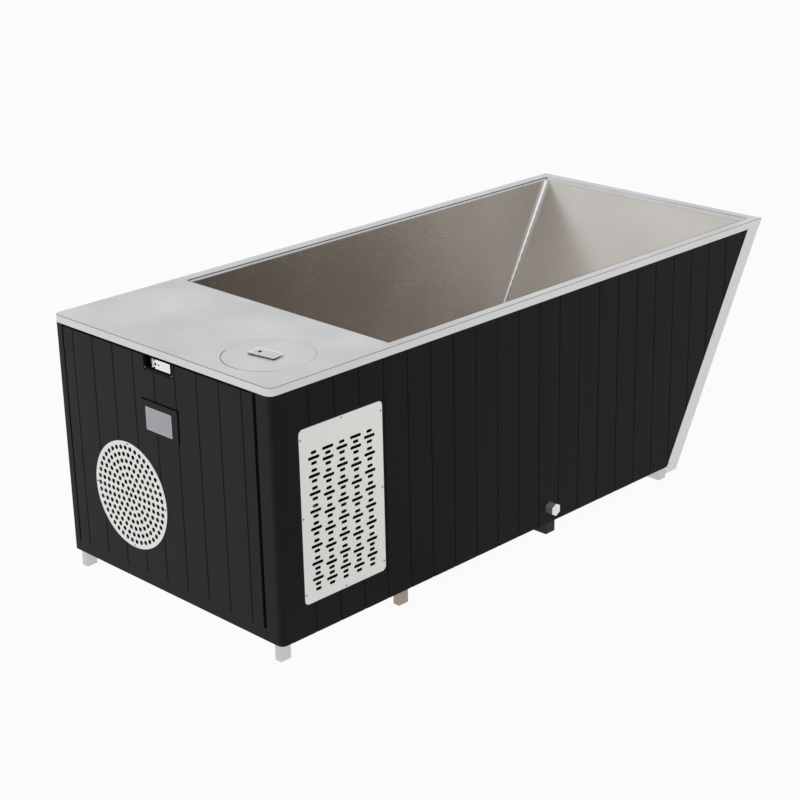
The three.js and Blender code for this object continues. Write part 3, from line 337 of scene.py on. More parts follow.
COPPER = Finish(
    "copper_tube", "copper", (0.58, 0.27, 0.13), roughness=0.32, metallic=1.0, fineness=200,
    grain_tone=0.08, drift=0.12, drift_cells=25.0, rough_spread=0.15, bump=0.05,
)
DARK_PLASTIC = Finish(
    "machine_plastic", "dark_plastic", (0.018, 0.019, 0.021), roughness=0.48, fineness=1500,
    grain_tone=0.06, drift=0.05, drift_cells=12.0, bump=0.3,
)
COMPRESSOR_PAINT = Finish(
    "compressor_paint", "compressor_paint", (0.014, 0.014, 0.015), roughness=0.34, fineness=500,
    grain_tone=0.06, drift=0.05, drift_cells=10.0, bump=0.2, coat=0.2,
)
WHITE_PLASTIC = Finish(
    "housing_plastic", "white_plastic", (0.72, 0.73, 0.73), roughness=0.42, fineness=1500,
    grain_tone=0.02, drift=0.03, drift_cells=9.0,
)
FILTER_MEDIA = Finish(
    "filter_cloth", "filter_media", (0.80, 0.81, 0.78), roughness=0.9, fineness=2200, grain_tone=0.06,
    drift=0.05, drift_cells=14.0, rough_spread=0.05, bump=0.5,
)
HOSE = Finish(
    "hose_rubber", "hose", (0.14, 0.15, 0.16), roughness=0.6, fineness=1200, grain_tone=0.08,
    drift_cells=10.0, rough_spread=0.12, bump=0.3,
)


class Bench:
    """Turns shaped meshes into dressed pieces that ride on a body."""

    def __init__(self) -> None:
        """Start with no materials made."""
        self.made: Dict[str, bpy.types.Material] = {}

    def material(self, finish: Finish) -> bpy.types.Material:
        """Make a finish's material, or find it again.

        Args:
            finish: the finish.

        Returns:
            The material.
        """
        if finish.name not in self.made:
            self.made[finish.name] = finish.make()
        return self.made[finish.name]

    def dress(self, finish: Finish, *nodes: str) -> None:
        """Give CAD nodes that stay as they are a finish.

        Args:
            finish: the finish.
            nodes: names of the nodes.
        """
        for name in nodes:
            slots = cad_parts[name].data.materials
            slots.clear()
            slots.append(self.material(finish))
            LOG.info("node %s dressed in %s", name, finish.name)

    def piece(
        self, shape: Mesh, name: str, finish: Finish, body: str, *stands_for: str,
        extra: Sequence[Finish] = (),
    ) -> None:
        """Make an object of a finished shape.

        Args:
            shape: the mesh, which is used up.
            name: the piece's name.
            finish: its finish.
            body: the body that it rides on.
            stands_for: nodes that it replaces.
            extra: the finishes of the faces whose material number is 1 and up.
        """
        for face in shape.faces:
            face.smooth = True
        mesh = bpy.data.meshes.new(name)
        shape.to_mesh(mesh)
        shape.free()
        mesh.set_sharp_from_angle(angle=SHADED)
        made = bpy.data.objects.new(name, mesh)
        bpy.context.scene.collection.objects.link(made)
        made.modifiers.new("even_shading", "WEIGHTED_NORMAL").keep_sharp = True
        for each in (finish, *extra):
            mesh.materials.append(self.material(each))
        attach(made, body)
        if stands_for:
            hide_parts(*stands_for)
        LOG.info("piece %s on %s: %d faces", name, body, len(mesh.polygons))

    def copy(self, node: str) -> Mesh:
        """Copy a CAD node, merged and with its flat faces whole.

        Args:
            node: the node's name.

        Returns:
            The mesh.
        """
        shape = bmesh.new()
        shape.from_mesh(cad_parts[node].data)
        bmesh.ops.remove_doubles(shape, verts=shape.verts, dist=MERGE)
        bmesh.ops.dissolve_limit(
            shape, angle_limit=FLAT, verts=shape.verts, edges=shape.edges, delimit=set(),
        )
        return shape

    def soften(self, finish: Finish, body: str, width: float, *nodes: str) -> None:
        """Replace CAD nodes by copies with eased edges.

        Args:
            finish: their finish.
            body: the body that they ride on.
            width: the width of the eased edges.
            nodes: names of the nodes.
        """
        for node in nodes:
            shape = self.copy(node)
            ease(shape, width)
            self.piece(shape, f"{node}_eased", finish, body, node)


def ease(
    shape: Mesh, width: float, segments: int = 2, pick: Optional[Callable[[Edge], bool]] = None,
) -> None:
    """Bevel the sharp edges of a shape.

    Args:
        shape: the mesh.
        width: bevel width.
        segments: faces across it.
        pick: which sharp edges are taken; all of them if None.
    """
    sharp = [
        e for e in shape.edges
        if len(e.link_faces) == 2 and e.calc_face_angle(0.0) > SHARP and (pick is None or pick(e))
    ]
    bmesh.ops.bevel(
        shape, geom=sharp, offset=width, offset_type="OFFSET", segments=segments, profile=0.5,
        affect="EDGES", clamp_overlap=True, material=-1,
    )


def disc(
    shape: Mesh, radius: float, sides: int, centre: Tuple[float, float] = (0.0, 0.0),
) -> List[Edge]:
    """Draw a circle in the plane of a plate.

    Args:
        shape: the mesh that it is drawn in.
        radius: its radius.
        sides: its sides.
        centre: its place in the plane.

    Returns:
        Its edges.
    """
    made = bmesh.ops.create_circle(
        shape, cap_ends=False, segments=sides, radius=radius,
        matrix=Matrix.Translation((*centre, 0.0)),
    )
    return list({e for v in made["verts"] for e in v.link_edges})


def slot_outline(shape: Mesh, length: float, width: float, centre: Tuple[float, float]) -> List[Edge]:
    """Draw a slot with round ends in the plane of a plate.

    Args:
        shape: the mesh that it is drawn in.
        length: the slot's length along the plane's first axis.
        width: its width.
        centre: its place.

    Returns:
        Its edges.
    """
    reach = (length - width) / 2
    made = bmesh.ops.create_circle(
        shape, cap_ends=False, segments=SLOT_SIDES, radius=width / 2,
        matrix=Matrix.Translation((*centre, 0.0)) @ Matrix.Rotation(math.pi / SLOT_SIDES, 4, "Z"),
    )["verts"]
    for side in (-1, 1):
        end = [v for v in made if (v.co.x - centre[0]) * side > 0]
        bmesh.ops.translate(shape, verts=end, vec=(side * reach, 0.0, 0.0))
    return list({e for v in made for e in v.link_edges})


def punched(shape: Mesh, edges: List[Edge], thickness: float) -> None:
    """Fill an outline with its holes and give it thickness along +Z.

    Args:
        shape: the mesh.
        edges: the outline's and the holes' edges.
        thickness: the plate's thickness.
    """
    filled = bmesh.ops.triangle_fill(
        shape, use_beauty=True, use_dissolve=False, edges=edges, normal=(0, 0, 1),
    )
    faces = [g for g in filled["geom"] if isinstance(g, bmesh.types.BMFace)]
    raised = bmesh.ops.extrude_face_region(shape, geom=faces, use_keep_orig=True)["geom"]
    top = [g for g in raised if isinstance(g, bmesh.types.BMVert)]
    bmesh.ops.translate(shape, verts=top, vec=(0.0, 0.0, thickness))
    bmesh.ops.recalc_face_normals(shape, faces=shape.faces)


def absorb(shape: Mesh, other: Mesh, place: Optional[Matrix] = None) -> None:
    """Move another mesh to its place and add it to a shape.

    Args:
        shape: the mesh that grows.
        other: the mesh that is added and used up.
        place: where it goes; it stays where it is if None.
    """
    if place is not None:
        bmesh.ops.transform(other, matrix=place, verts=other.verts)
    spare = bpy.data.meshes.new("spare")
    other.to_mesh(spare)
    other.free()
    shape.from_mesh(spare)
    bpy.data.meshes.remove(spare)


def block(low: Sequence[float], high: Sequence[float], width: float, segments: int = 2) -> Mesh:
    """Make a box between two corners with eased edges.

    Args:
        low: the lowest corner.
        high: the highest corner.
        width: the width of the eased edges.
        segments: faces across them.

    Returns:
        The mesh.
    """
    shape = bmesh.new()
    size = Vector(high) - Vector(low)
    middle = Matrix.Translation((Vector(high) + Vector(low)) / 2)
    bmesh.ops.create_cube(shape, size=1.0, matrix=middle @ Matrix.Diagonal((*size, 1.0)))
    ease(shape, width, segments)
    return shape


class Side(Enum):
    """A side of the tub, as the turn that lays a plate on it with its thickness outwards."""

    FRONT = ((0, 0, -1), (-1, 0, 0), (0, 1, 0))
    NEAR = ((1, 0, 0), (0, 0, -1), (0, 1, 0))
    FAR = ((-1, 0, 0), (0, 0, 1), (0, 1, 0))

    def turn(self) -> Matrix:
        """Return the turn as a matrix."""
        return Matrix(self.value).to_4x4()


@dataclass
class Screws:
    """Round-head screws set on a flat side of the tub."""

    bench: Bench
    head: float
    height: float = 1 * MM
    sides: int = 20
    taper: float = 0.72  # the top's radius as a part of the head's
    wall: float = 0.3  # the wall round the drive as a part of the head's radius
    drive: float = 0.5  # the drive's depth as a part of the head's height

    def build(
        self, name: str, side: Side, places: Iterable[Vector], body: str, finish: Finish = SCREW_STEEL,
    ) -> None:
        """Make one piece of all the screws on a side.

        Args:
            name: the piece's name.
            side: the side that they face.
            places: where each head sits.
            body: the body that they ride on.
            finish: their finish.
        """
        shape = bmesh.new()
        for place in places:
            head = bmesh.new()
            bmesh.ops.create_cone(
                head, cap_ends=True, segments=self.sides, radius1=self.head,
                radius2=self.head * self.taper, depth=self.height,
            )
            bmesh.ops.translate(head, verts=head.verts, vec=(0.0, 0.0, self.height / 2))
            top = [f for f in head.faces if f.normal.z > UPWARD]
            bmesh.ops.inset_region(head, faces=top, thickness=self.head * self.wall, depth=0.0)
            bmesh.ops.translate(head, verts=top[0].verts, vec=(0.0, 0.0, -self.height * self.drive))
            absorb(shape, head, Matrix.Translation(place) @ side.turn())
        self.bench.piece(shape, name, finish, body)


@dataclass
class DeckAndBasin:
    """The stainless deck, the bend round its opening and the basin under it."""

    bench: Bench
    rim_ease: float = 2.6 * MM
    ease_steps: int = 4
    bend: float = 10 * MM  # radius of the bend round the mouth
    bend_steps: int = 8
    lip: float = 1.5 * MM  # thickness of the bend
    corner: float = 7 * MM  # width of the rounded folds inside the basin
    long_edge: float = 300 * MM  # the folds are longer than this
    front_deck: float = 300 * MM  # the deck before the mouth is deeper than this
    floor_low: float = 124.5 * MM  # the inner floor lies between these heights
    floor_high: float = 200 * MM
    same: float = 0.05 * MM  # points closer than this are level
    slack: float = 1 * MM  # points of the mouth are found within this
    wall_tilt: float = 0.25  # the largest upward part of a wall's normal
    flat_tilt: float = 0.985  # the smallest upward part of a level face's normal
    weld_foot: float = 1.6 * MM
    weld_head: float = 8.0 * MM
    weld_seat: float = 0.35  # a bead's place, as a part of the corner's width
    weld_sides: int = 16
    weld_steps: int = 90
    weld_ripple: float = 0.05
    weld_waves: float = 1150.0  # radians per metre

    def opening(self) -> Tuple[float, float, float, float]:
        """Measure the basin's mouth.

        Returns:
            Its front, its end, its half width, and how far its end wall leans out per metre of height.
        """
        shape = self.bench.copy("basin")
        top = max(v.co.z for v in shape.verts)
        rim = (v.co for v in shape.verts if top - v.co.z < self.same)
        mouth = sorted(rim, key=lambda c: abs(c.y))[:4]  # the inner corners
        front, end = min(c.x for c in mouth), max(c.x for c in mouth)
        half = max(c.y for c in mouth)
        floor = max(
            v.co.x for v in shape.verts
            if abs(v.co.y) < half + self.same and self.floor_low < v.co.z < self.floor_high
        )
        drop = top - max(v.co.z for v in shape.verts if abs(v.co.x - floor) < self.same)
        lean = (end - floor) / drop
        shape.free()
        return front, end, half, lean

    def deck(self, front: float, end: float, half: float, reach: float) -> None:
        """Shape the deck, its opening widened to where the bend starts.

        Args:
            front: the mouth's front wall.
            end: its end wall at the deck.
            half: its half width.
            reach: how far the bend at the end wall reaches out.
        """
        shape = self.bench.copy("top_deck")
        top = max(v.co.z for v in shape.verts)
        for v in shape.verts:
            along = front - self.slack < v.co.x < end + self.slack
            if along and abs(abs(v.co.y) - half) < self.slack:
                v.co.y += math.copysign(self.bend, v.co.y)
                v.co.x += -self.bend if abs(v.co.x - front) < self.slack else reach

        def outside(point: Vector) -> bool:
            """Tell whether a point of the deck's top lies on the outside of the rim."""
            beside = abs(point.y) > half + 2 * self.bend
            return beside or not front - self.front_deck <= point.x <= end + reach + self.lip

        def outer(edge: Edge) -> bool:
            """Tell whether an edge runs round the outside of the rim.

            Args:
                edge: the edge.

            Returns:
                True if it does.
            """
            level = all(abs(v.co.z - top) < self.same for v in edge.verts)
            folded = any(f.normal.z < UPWARD for f in edge.link_faces)
            return level and folded and any(outside(v.co) for v in edge.verts)

        ease(shape, self.rim_ease, self.ease_steps, outer)
        extra = (EDGE_DARK_REFLECTION_STEEL, BAND_REFLECTION_STEEL)
        for face in shape.faces:
            high = face.calc_center_median().z > top - self.rim_ease
            # The eased faces along the top edge get the dark copy of the steel, a painted dark
            # reflection.
            if high and self.wall_tilt < face.normal.z < self.flat_tilt:
                face.material_index = 1 + extra.index(EDGE_DARK_REFLECTION_STEEL)
            # The upright faces get the lighter copy of the steel, a painted reflection.
            elif abs(face.normal.z) < self.wall_tilt:
                face.material_index = 1 + extra.index(BAND_REFLECTION_STEEL)
        self.bench.piece(shape, "deck_sheet", STAINLESS, "case", "top_deck", extra=extra)

    def rings(
        self, front: float, end: float, half: float, lean: float, top: float,
    ) -> Tuple[Mesh, float]:
        """Sweep the bend round the mouth.

        Args:
            front: the mouth's front wall.
            end: its end wall at the deck.
            half: its half width.
            lean: how far the end wall leans out per metre of height.
            top: the deck's top.

        Returns:
            The bend, and how far it reaches out at the end wall.
        """
        turn = math.pi / 2 - math.atan(lean)
        radius = self.bend / (1 - math.cos(turn))
        start = end - lean * self.bend + radius * math.sin(turn)
        profile = []
        for inset in (0.0, self.lip):
            steps = []
            for i in range(self.bend_steps + 1):
                angle = i * math.pi / 2 / self.bend_steps
                drop = self.bend * (1 - math.cos(angle))
                out = (self.bend - inset) * (1 - math.sin(angle)) + inset
                swing = math.acos(1 - drop / radius)
                far = start - (radius - inset) * math.sin(swing)
                steps.append((out, far, top - drop - inset * math.cos(angle)))
            profile += steps if inset == 0.0 else steps[::-1]
        shape = bmesh.new()
        bmesh.ops.create_grid(shape, x_segments=1, y_segments=1, size=1.0)
        bmesh.ops.delete(shape, geom=shape.faces[:], context="FACES_ONLY")
        ring, corners = shape.edges[:], shape.verts[:]
        for k, (out, far, z) in enumerate([*profile, profile[0]]):
            if k:
                grown = bmesh.ops.extrude_edge_only(shape, edges=ring)["geom"]
                corners = [g for g in grown if isinstance(g, bmesh.types.BMVert)]
                ring = [g for g in grown if isinstance(g, Edge) and all(v in corners for v in g.verts)]
            middle = sum(v.co.x for v in corners) / len(corners)
            for v in corners:
                x = far if v.co.x > middle else front - out
                v.co = (x, math.copysign(half + out, v.co.y), z)
        bmesh.ops.remove_doubles(shape, verts=shape.verts, dist=self.same)
        bmesh.ops.recalc_face_normals(shape, faces=shape.faces)
        return shape, start - end

    def basin(self, lean: float, top: float) -> None:
        """Shape the basin, its walls starting under the bend.

        Args:
            lean: how far the end wall leans out per metre of height.
            top: the deck's top.
        """
        shape = self.bench.copy("basin")
        rim = max(v.co.z for v in shape.verts)
        drop = rim - (top - self.bend)
        middle = sum(v.co.x for v in shape.verts) / len(shape.verts)
        for v in shape.verts:
            if rim - v.co.z < self.same:
                v.co.z -= drop
                if v.co.x > middle:
                    v.co.x -= lean * drop

        def inner_corner(edge: Edge) -> bool:
            """Tell whether an edge is one of the long folds inside the basin."""
            return edge.calc_length() > self.long_edge and edge.calc_face_angle_signed(0.0) < 0

        ease(shape, self.corner, self.ease_steps, inner_corner)
        self.bench.piece(shape, "basin_shell", BASIN_STEEL, "case", "basin")

    def welds(self, end: float, half: float, lean: float, top: float) -> None:
        """Lay the weld beads in the corners of the slanted wall, in bright chrome as a painted
        highlight.

        Args:
            end: the end wall at the deck.
            half: the mouth's half width.
            lean: how far it leans out per metre of height.
            top: the deck's top.
        """
        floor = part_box("drain_fitting")[1].z
        shape = bmesh.new()
        seat = self.corner * self.weld_seat
        for side in (-1, 1):
            y = side * (half - seat)
            foot = Vector((end - lean * (top - floor) - seat, y, floor))
            head = Vector((end - lean * self.bend - seat, y, top - self.bend))
            bead = bmesh.new()
            bmesh.ops.create_cone(
                bead, cap_ends=True, segments=self.weld_sides, radius1=self.weld_foot,
                radius2=self.weld_head, depth=(head - foot).length,
            )
            long = [e for e in bead.edges if abs(e.verts[0].co.z - e.verts[1].co.z) > self.same]
            bmesh.ops.subdivide_edges(bead, edges=long, cuts=self.weld_steps)
            for v in bead.verts:
                v.co.xy *= 1.0 + self.weld_ripple * math.sin(v.co.z * self.weld_waves)
            aim = (head - foot).to_track_quat("Z", "Y").to_matrix().to_4x4()
            absorb(shape, bead, Matrix.Translation((head + foot) / 2) @ aim)
        # The beads are welds; their bright chrome is a painted highlight along each corner.
        self.bench.piece(shape, "corner_welds_painted_highlight", CHROME, "case")

    def build(self) -> None:
        """Build the deck, the bend, the basin and its welds."""
        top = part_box("top_deck")[1].z
        front, end, half, lean = self.opening()
        bend, reach = self.rings(front, end, half, lean, top)
        self.bench.piece(bend, "deck_bend", STAINLESS, "case")
        self.deck(front, end, half, reach)
        self.basin(lean, top)
        self.welds(end, half, lean, top)


@dataclass
class Cladding:
    """The grooved boards, the corner posts, the sill and the end trims."""

    bench: Bench
    board_ease: float = 0.8 * MM
    trim_ease: float = 0.5 * MM
    trim_side: float = 52 * MM  # the trim's width along the tub
    screw_inset: float = 4 * MM
    screw_head: float = 2.4 * MM
    screw_height: float = 0.4 * MM
    screw_rises: Tuple[float, ...] = (26 * MM, 361 * MM)  # above the trim's foot

    def build(self) -> None:
        """Build every board and trim."""
        self.bench.soften(
            BOARD, "case", self.board_ease, "side_cladding_near", "side_cladding_far", "end_cladding",
            "corner_post_near", "corner_post_far", "front_sill",
        )
        self.bench.soften(BOARD, "panel", self.board_ease, "access_panel")
        self.bench.soften(TRIM_STEEL, "case", self.trim_ease, "end_trim_near", "end_trim_far")
        low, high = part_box("end_trim_near")
        lean = (high.x - low.x - self.trim_side) / (high.z - low.z)
        screws = Screws(self.bench, self.screw_head, self.screw_height)
        for side, y in ((Side.NEAR, low.y), (Side.FAR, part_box("end_trim_far")[1].y)):
            places = [
                Vector((low.x + lean * (z - low.z) + self.screw_inset, y, z))
                for z in (low.z + rise for rise in self.screw_rises)
            ]
            screws.build(f"end_trim_{side.name.lower()}_screws", side, places, "case")


@dataclass
class FanGrille:
    """The round perforated grille on the access panel."""

    bench: Bench
    rim_sides: int = 96
    hole: float = 6 * MM  # a hole's radius
    hole_sides: int = 16
    ring_pitch: float = 17.55 * MM
    rings: int = 7
    ring_holes: int = 6  # holes that each ring has more than the one inside it
    screws: int = 4
    screw_inset: float = 5 * MM
    screw_head: float = 2.6 * MM

    def build(self) -> None:
        """Punch the disc and set its screws."""
        low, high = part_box("fan_grille")
        centre = (low + high) / 2
        radius = (high.z - low.z) / 2
        shape = bmesh.new()
        edges = disc(shape, radius, self.rim_sides) + disc(shape, self.hole, self.hole_sides)
        for ring in range(1, self.rings + 1):
            reach = ring * self.ring_pitch
            holes = self.ring_holes * ring
            for angle in (i * math.tau / holes for i in range(holes)):
                spot = (reach * math.cos(angle), reach * math.sin(angle))
                edges += disc(shape, self.hole, self.hole_sides, spot)
        punched(shape, edges, high.x - low.x)
        place = Matrix.Translation((high.x, centre.y, centre.z)) @ Side.FRONT.turn()
        bmesh.ops.transform(shape, matrix=place, verts=shape.verts)
        self.bench.piece(shape, "fan_grille_disc", GRILLE_STEEL, "panel", "fan_grille")
        reach = radius - self.screw_inset
        places = [
            Vector((low.x, centre.y + reach * math.cos(a), centre.z + reach * math.sin(a)))
            for a in (i * math.tau / self.screws for i in range(self.screws))
        ]
        Screws(self.bench, self.screw_head).build("fan_grille_screws", Side.FRONT, places, "panel")


@dataclass
class VentGrille:
    """The slotted grille on the near side."""

    bench: Bench
    corner: float = 12 * MM
    corner_steps: int = 6
    pitch: float = 43.6 * MM  # between columns, and between groups of three slots
    step: float = 13.1 * MM  # between slots of a group
    columns: int = 5
    groups: int = 7
    long_slot: float = 35 * MM
    short_slot: float = 18 * MM
    slot_width: float = 8 * MM
    first_row: float = 63.5 * MM  # below the plate's top edge
    screw_inset: float = 5 * MM
    screw_drop: float = 25 * MM
    screw_head: float = 2.6 * MM

    def slots(self, top: float) -> List[Tuple[float, float, float]]:
        """List the slots.

        Args:
            top: the height of the plate's top edge above its middle.

        Returns:
            Each slot's place across and up, and its length.
        """
        trio = [self.short_slot, self.long_slot, self.short_slot]
        found = []
        for column in range(self.columns):
            x = (column - (self.columns - 1) / 2) * self.pitch
            shifted = column % 2 == 1
            first = top - self.first_row - (self.step if shifted else 0.0)
            rows = [(first + self.step, self.long_slot)] if shifted else []
            for group in range(self.groups):
                start = first - group * self.pitch
                rows += [(start - i * self.step, size) for i, size in enumerate(trio)]
            tail = first - (self.groups - 1) * self.pitch - len(trio) * self.step
            last = trio if shifted else [*trio, self.short_slot]
            rows += [(tail - i * self.step, size) for i, size in enumerate(last)]
            found += [(x, z, size) for z, size in rows]
        return found

    def build(self) -> None:
        """Punch the plate and set its screws."""
        low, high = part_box("side_grille")
        centre = (low + high) / 2
        size = high - low
        shape = bmesh.new()
        bmesh.ops.create_grid(shape, x_segments=1, y_segments=1, size=0.5)
        bmesh.ops.scale(shape, vec=(size.x, size.z, 1.0), verts=shape.verts)
        bmesh.ops.bevel(
            shape, geom=list(shape.verts), offset=self.corner, offset_type="OFFSET",
            segments=self.corner_steps, profile=0.5, affect="VERTICES", clamp_overlap=True, material=-1,
        )
        bmesh.ops.delete(shape, geom=list(shape.faces), context="FACES_ONLY")
        edges = list(shape.edges)
        for x, z, length in self.slots(size.z / 2):
            edges += slot_outline(shape, length, self.slot_width, (x, z))
        punched(shape, edges, size.y)
        place = Matrix.Translation((centre.x, high.y, centre.z)) @ Side.NEAR.turn()
        bmesh.ops.transform(shape, matrix=place, verts=shape.verts)
        self.bench.piece(shape, "vent_grille_plate", GRILLE_STEEL, "case", "side_grille")
        across = size.x / 2 - self.screw_inset
        up = size.z / 2 - self.screw_inset
        corner = size.z / 2 - self.screw_drop
        spots = [(x, z) for x in (-across, across) for z in (-corner, 0.0, corner)]
        spots += [(0.0, up), (0.0, -up)]
        places = [Vector((centre.x + x, low.y, centre.z + z)) for x, z in spots]
        Screws(self.bench, self.screw_head).build("vent_grille_screws", Side.NEAR, places, "case")


@dataclass
class Hatch:
    """The round lid in the deck with its flip-up handle."""

    bench: Bench
    lid_sides: int = 96
    lid_ease: float = 0.6 * MM
    base_ease: float = 0.3 * MM
    turn: float = math.radians(8)  # the handle's turn on the lid
    tray_rim: float = 4 * MM
    tray_depth: float = 0.8 * MM
    tray_ease: float = 0.25 * MM
    slot_at: float = 19 * MM  # from the tray's middle towards its hinge
    slot_half: Tuple[float, float] = (5 * MM, 3 * MM)
    slot_height: float = 0.6 * MM
    slot_ease: float = 0.2 * MM

    def build(self) -> None:
        """Build the lid and the handle."""
        low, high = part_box("hatch_lid")
        centre = (low + high) / 2
        shape = bmesh.new()
        radius = (high.x - low.x) / 2
        bmesh.ops.create_cone(
            shape, cap_ends=True, segments=self.lid_sides, radius1=radius, radius2=radius,
            depth=high.z - low.z, matrix=Matrix.Translation(centre),
        )
        ease(shape, self.lid_ease)
        self.bench.piece(shape, "hatch_lid_disc", STAINLESS, "hatch", "hatch_lid")
        self.bench.soften(STAINLESS, "hatch", self.base_ease, "handle_base")
        self.flap()

    def flap(self) -> None:
        """Build the flap as a shallow tray with a darker floor and a black block at its hinged end,
        both painted shade.
        """
        shape = self.bench.copy("handle_flap")
        tray = max((f for f in shape.faces if f.normal.z > UPWARD), key=lambda f: f.calc_area())
        middle = tray.calc_center_bounds()
        bmesh.ops.inset_region(shape, faces=[tray], thickness=self.tray_rim, depth=-self.tray_depth)
        # The recessed floor gets darker steel than the rim: painted shade in the recess.
        tray.material_index = 1
        ease(shape, self.tray_ease)
        extra = (BASIN_STEEL,)
        self.bench.piece(shape, "handle_tray", HANDLE_STEEL, "handle", "handle_flap", extra=extra)
        turn = Matrix.Rotation(self.turn, 4, "Z")
        x, y = self.slot_half
        slot = block((-x, -y, 0.0), (x, y, self.slot_height), self.slot_ease)
        place = middle + turn @ Vector((0.0, self.slot_at, 0.0)) - Vector((0.0, 0.0, self.tray_depth))
        bmesh.ops.transform(slot, matrix=Matrix.Translation(place) @ turn, verts=slot.verts)
        # A black block in the tray at the hinged end: painted shade of the slot.
        self.bench.piece(slot, "handle_slot_painted_shade", SHADE_AND_LEDGE_BLACK, "handle")


@dataclass
class Latch:
    """The hasp in the access panel's notch, and the display."""

    bench: Bench
    plate_ease: float = 0.3 * MM
    round_ease: float = 0.4 * MM
    knuckles: int = 3
    knuckle_sides: int = 24
    knuckle_gap: float = 0.8 * MM
    roll_radius: float = 3 * MM
    roll_inset: float = 0.5 * MM  # the roll is this much shorter at each end
    eye_inset: float = 9 * MM
    eye_radius: float = 4 * MM
    eye_height: float = 0.4 * MM
    edge: float = 1 * MM  # width of the screen's bright edge, a painted highlight of the glass's bevel
    edge_front: float = 0.15 * MM  # how far it stands out of the screen
    edge_back: float = 0.2 * MM  # how far it reaches into it
    edge_ease: float = 0.05 * MM
    shadow_gap: float = 2.4 * MM  # width of the dark strip, a painted shadow in the gap beside and over the bezel
    shadow_gap_back: float = 0.1 * MM  # the painted shadow lies between these depths before the bezel's back
    shadow_gap_front: float = 1 * MM
    shadow_gap_ease: float = 0.1 * MM
    notch_off: float = 18 * MM  # from the hasp's middle to the notch's
    ledge_depth: float = 3 * MM  # behind the panel's face
    ledge_half: float = 50 * MM
    ledge_drop: float = 6.5 * MM  # below the hasp's foot
    strip_half: float = 1 * MM
    strip_depth: float = 0.8 * MM
    ledge_screw: float = 1.8 * MM
    ledge_screw_inset: float = 1 * MM

    def build(self) -> None:
        """Build the hasp, its bracket and the display."""
        self.bench.soften(CHROME, "hasp", self.round_ease, "latch_hasp")
        self.roll()
        self.bench.soften(BLACK_PAINT, "case", self.plate_ease, "latch_bracket")
        self.bench.soften(BEZEL, "panel", self.plate_ease, "display_bezel")
        self.bench.soften(SCREEN, "panel", self.round_ease, "display_screen")
        self.display_frame()
        self.ledge()

    def roll(self) -> None:
        """Roll the hasp's hinged edge into knuckles and lay a black disc at its eye as painted shade.
        """
        low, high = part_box("latch_hasp")
        shape = bmesh.new()
        step = (high.z - low.z - 2 * self.roll_inset) / self.knuckles
        for i in range(self.knuckles):
            knuckle = bmesh.new()
            bmesh.ops.create_cone(
                knuckle, cap_ends=True, segments=self.knuckle_sides, radius1=self.roll_radius,
                radius2=self.roll_radius, depth=step - self.knuckle_gap,
            )
            ease(knuckle, self.round_ease)
            z = low.z + self.roll_inset + (i + 0.5) * step
            place = Vector(((low.x + high.x) / 2, high.y + self.roll_radius, z))
            absorb(shape, knuckle, Matrix.Translation(place))
        self.bench.piece(shape, "hasp_roll", TRIM_STEEL, "hasp")
        # A black disc over the hasp's eye: painted shade of the hole.
        eye = Vector((low.x, high.y - self.eye_inset, (low.z + high.z) / 2))
        eye_shade = Screws(self.bench, self.eye_radius, self.eye_height)
        eye_shade.build("hasp_eye_painted_shade", Side.FRONT, [eye], "hasp", SHADE_AND_LEDGE_BLACK)

    def display_frame(self) -> None:
        """Set the screen's bright edge, a painted highlight, and the bezel's dark strip, a painted
        shadow.
        """
        low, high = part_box("display_screen")
        edge = bmesh.new()
        front, back = low.x - self.edge_front, low.x + self.edge_back
        for y0, y1, z0, z1 in (
            (low.y, high.y, low.z, low.z + self.edge),
            (low.y, high.y, high.z - self.edge, high.z),
            (low.y, low.y + self.edge, low.z, high.z),
            (high.y - self.edge, high.y, low.z, high.z),
        ):
            absorb(edge, block((front, y0, z0), (back, y1, z1), self.edge_ease, 1))
        # A bright steel strip round the screen: a painted highlight of the glass's bevel.
        self.bench.piece(edge, "screen_edge_painted_highlight", TRIM_STEEL, "panel")
        low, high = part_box("display_bezel")
        front, back, top = high.x - self.shadow_gap_front, high.x - self.shadow_gap_back, high.z + self.shadow_gap
        shadow_gap = block((front, low.y - self.shadow_gap, low.z), (back, low.y, top), self.shadow_gap_ease)
        absorb(shadow_gap, block((front, low.y, high.z), (back, high.y, top), self.shadow_gap_ease))
        # Black strips beside and over the bezel: a painted shadow in the gap round it.
        self.bench.piece(shadow_gap, "bezel_painted_shadow", SHADE_AND_LEDGE_BLACK, "panel")

    def ledge(self) -> None:
        """Set the dark strip and the two screws at the foot of the notch."""
        low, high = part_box("latch_hasp")
        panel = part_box("access_panel")[0]
        front = panel.x + self.ledge_depth
        centre = (low.y + high.y) / 2 + self.notch_off
        y0, y1 = centre - self.ledge_half, centre + self.ledge_half
        z = low.z - self.ledge_drop
        foot = (front - self.strip_depth, y0, z - self.strip_half)
        strip = block(foot, (front, y1, z + self.strip_half), self.round_ease)
        self.bench.piece(strip, "notch_strip", SHADE_AND_LEDGE_BLACK, "panel")
        spots = (y0 + self.ledge_screw_inset, y1 - self.ledge_screw_inset)
        places = [Vector((front, y, z)) for y in spots]
        screws = Screws(self.bench, self.ledge_screw)
        screws.build("notch_screws", Side.FRONT, places, "panel", TRIM_STEEL)


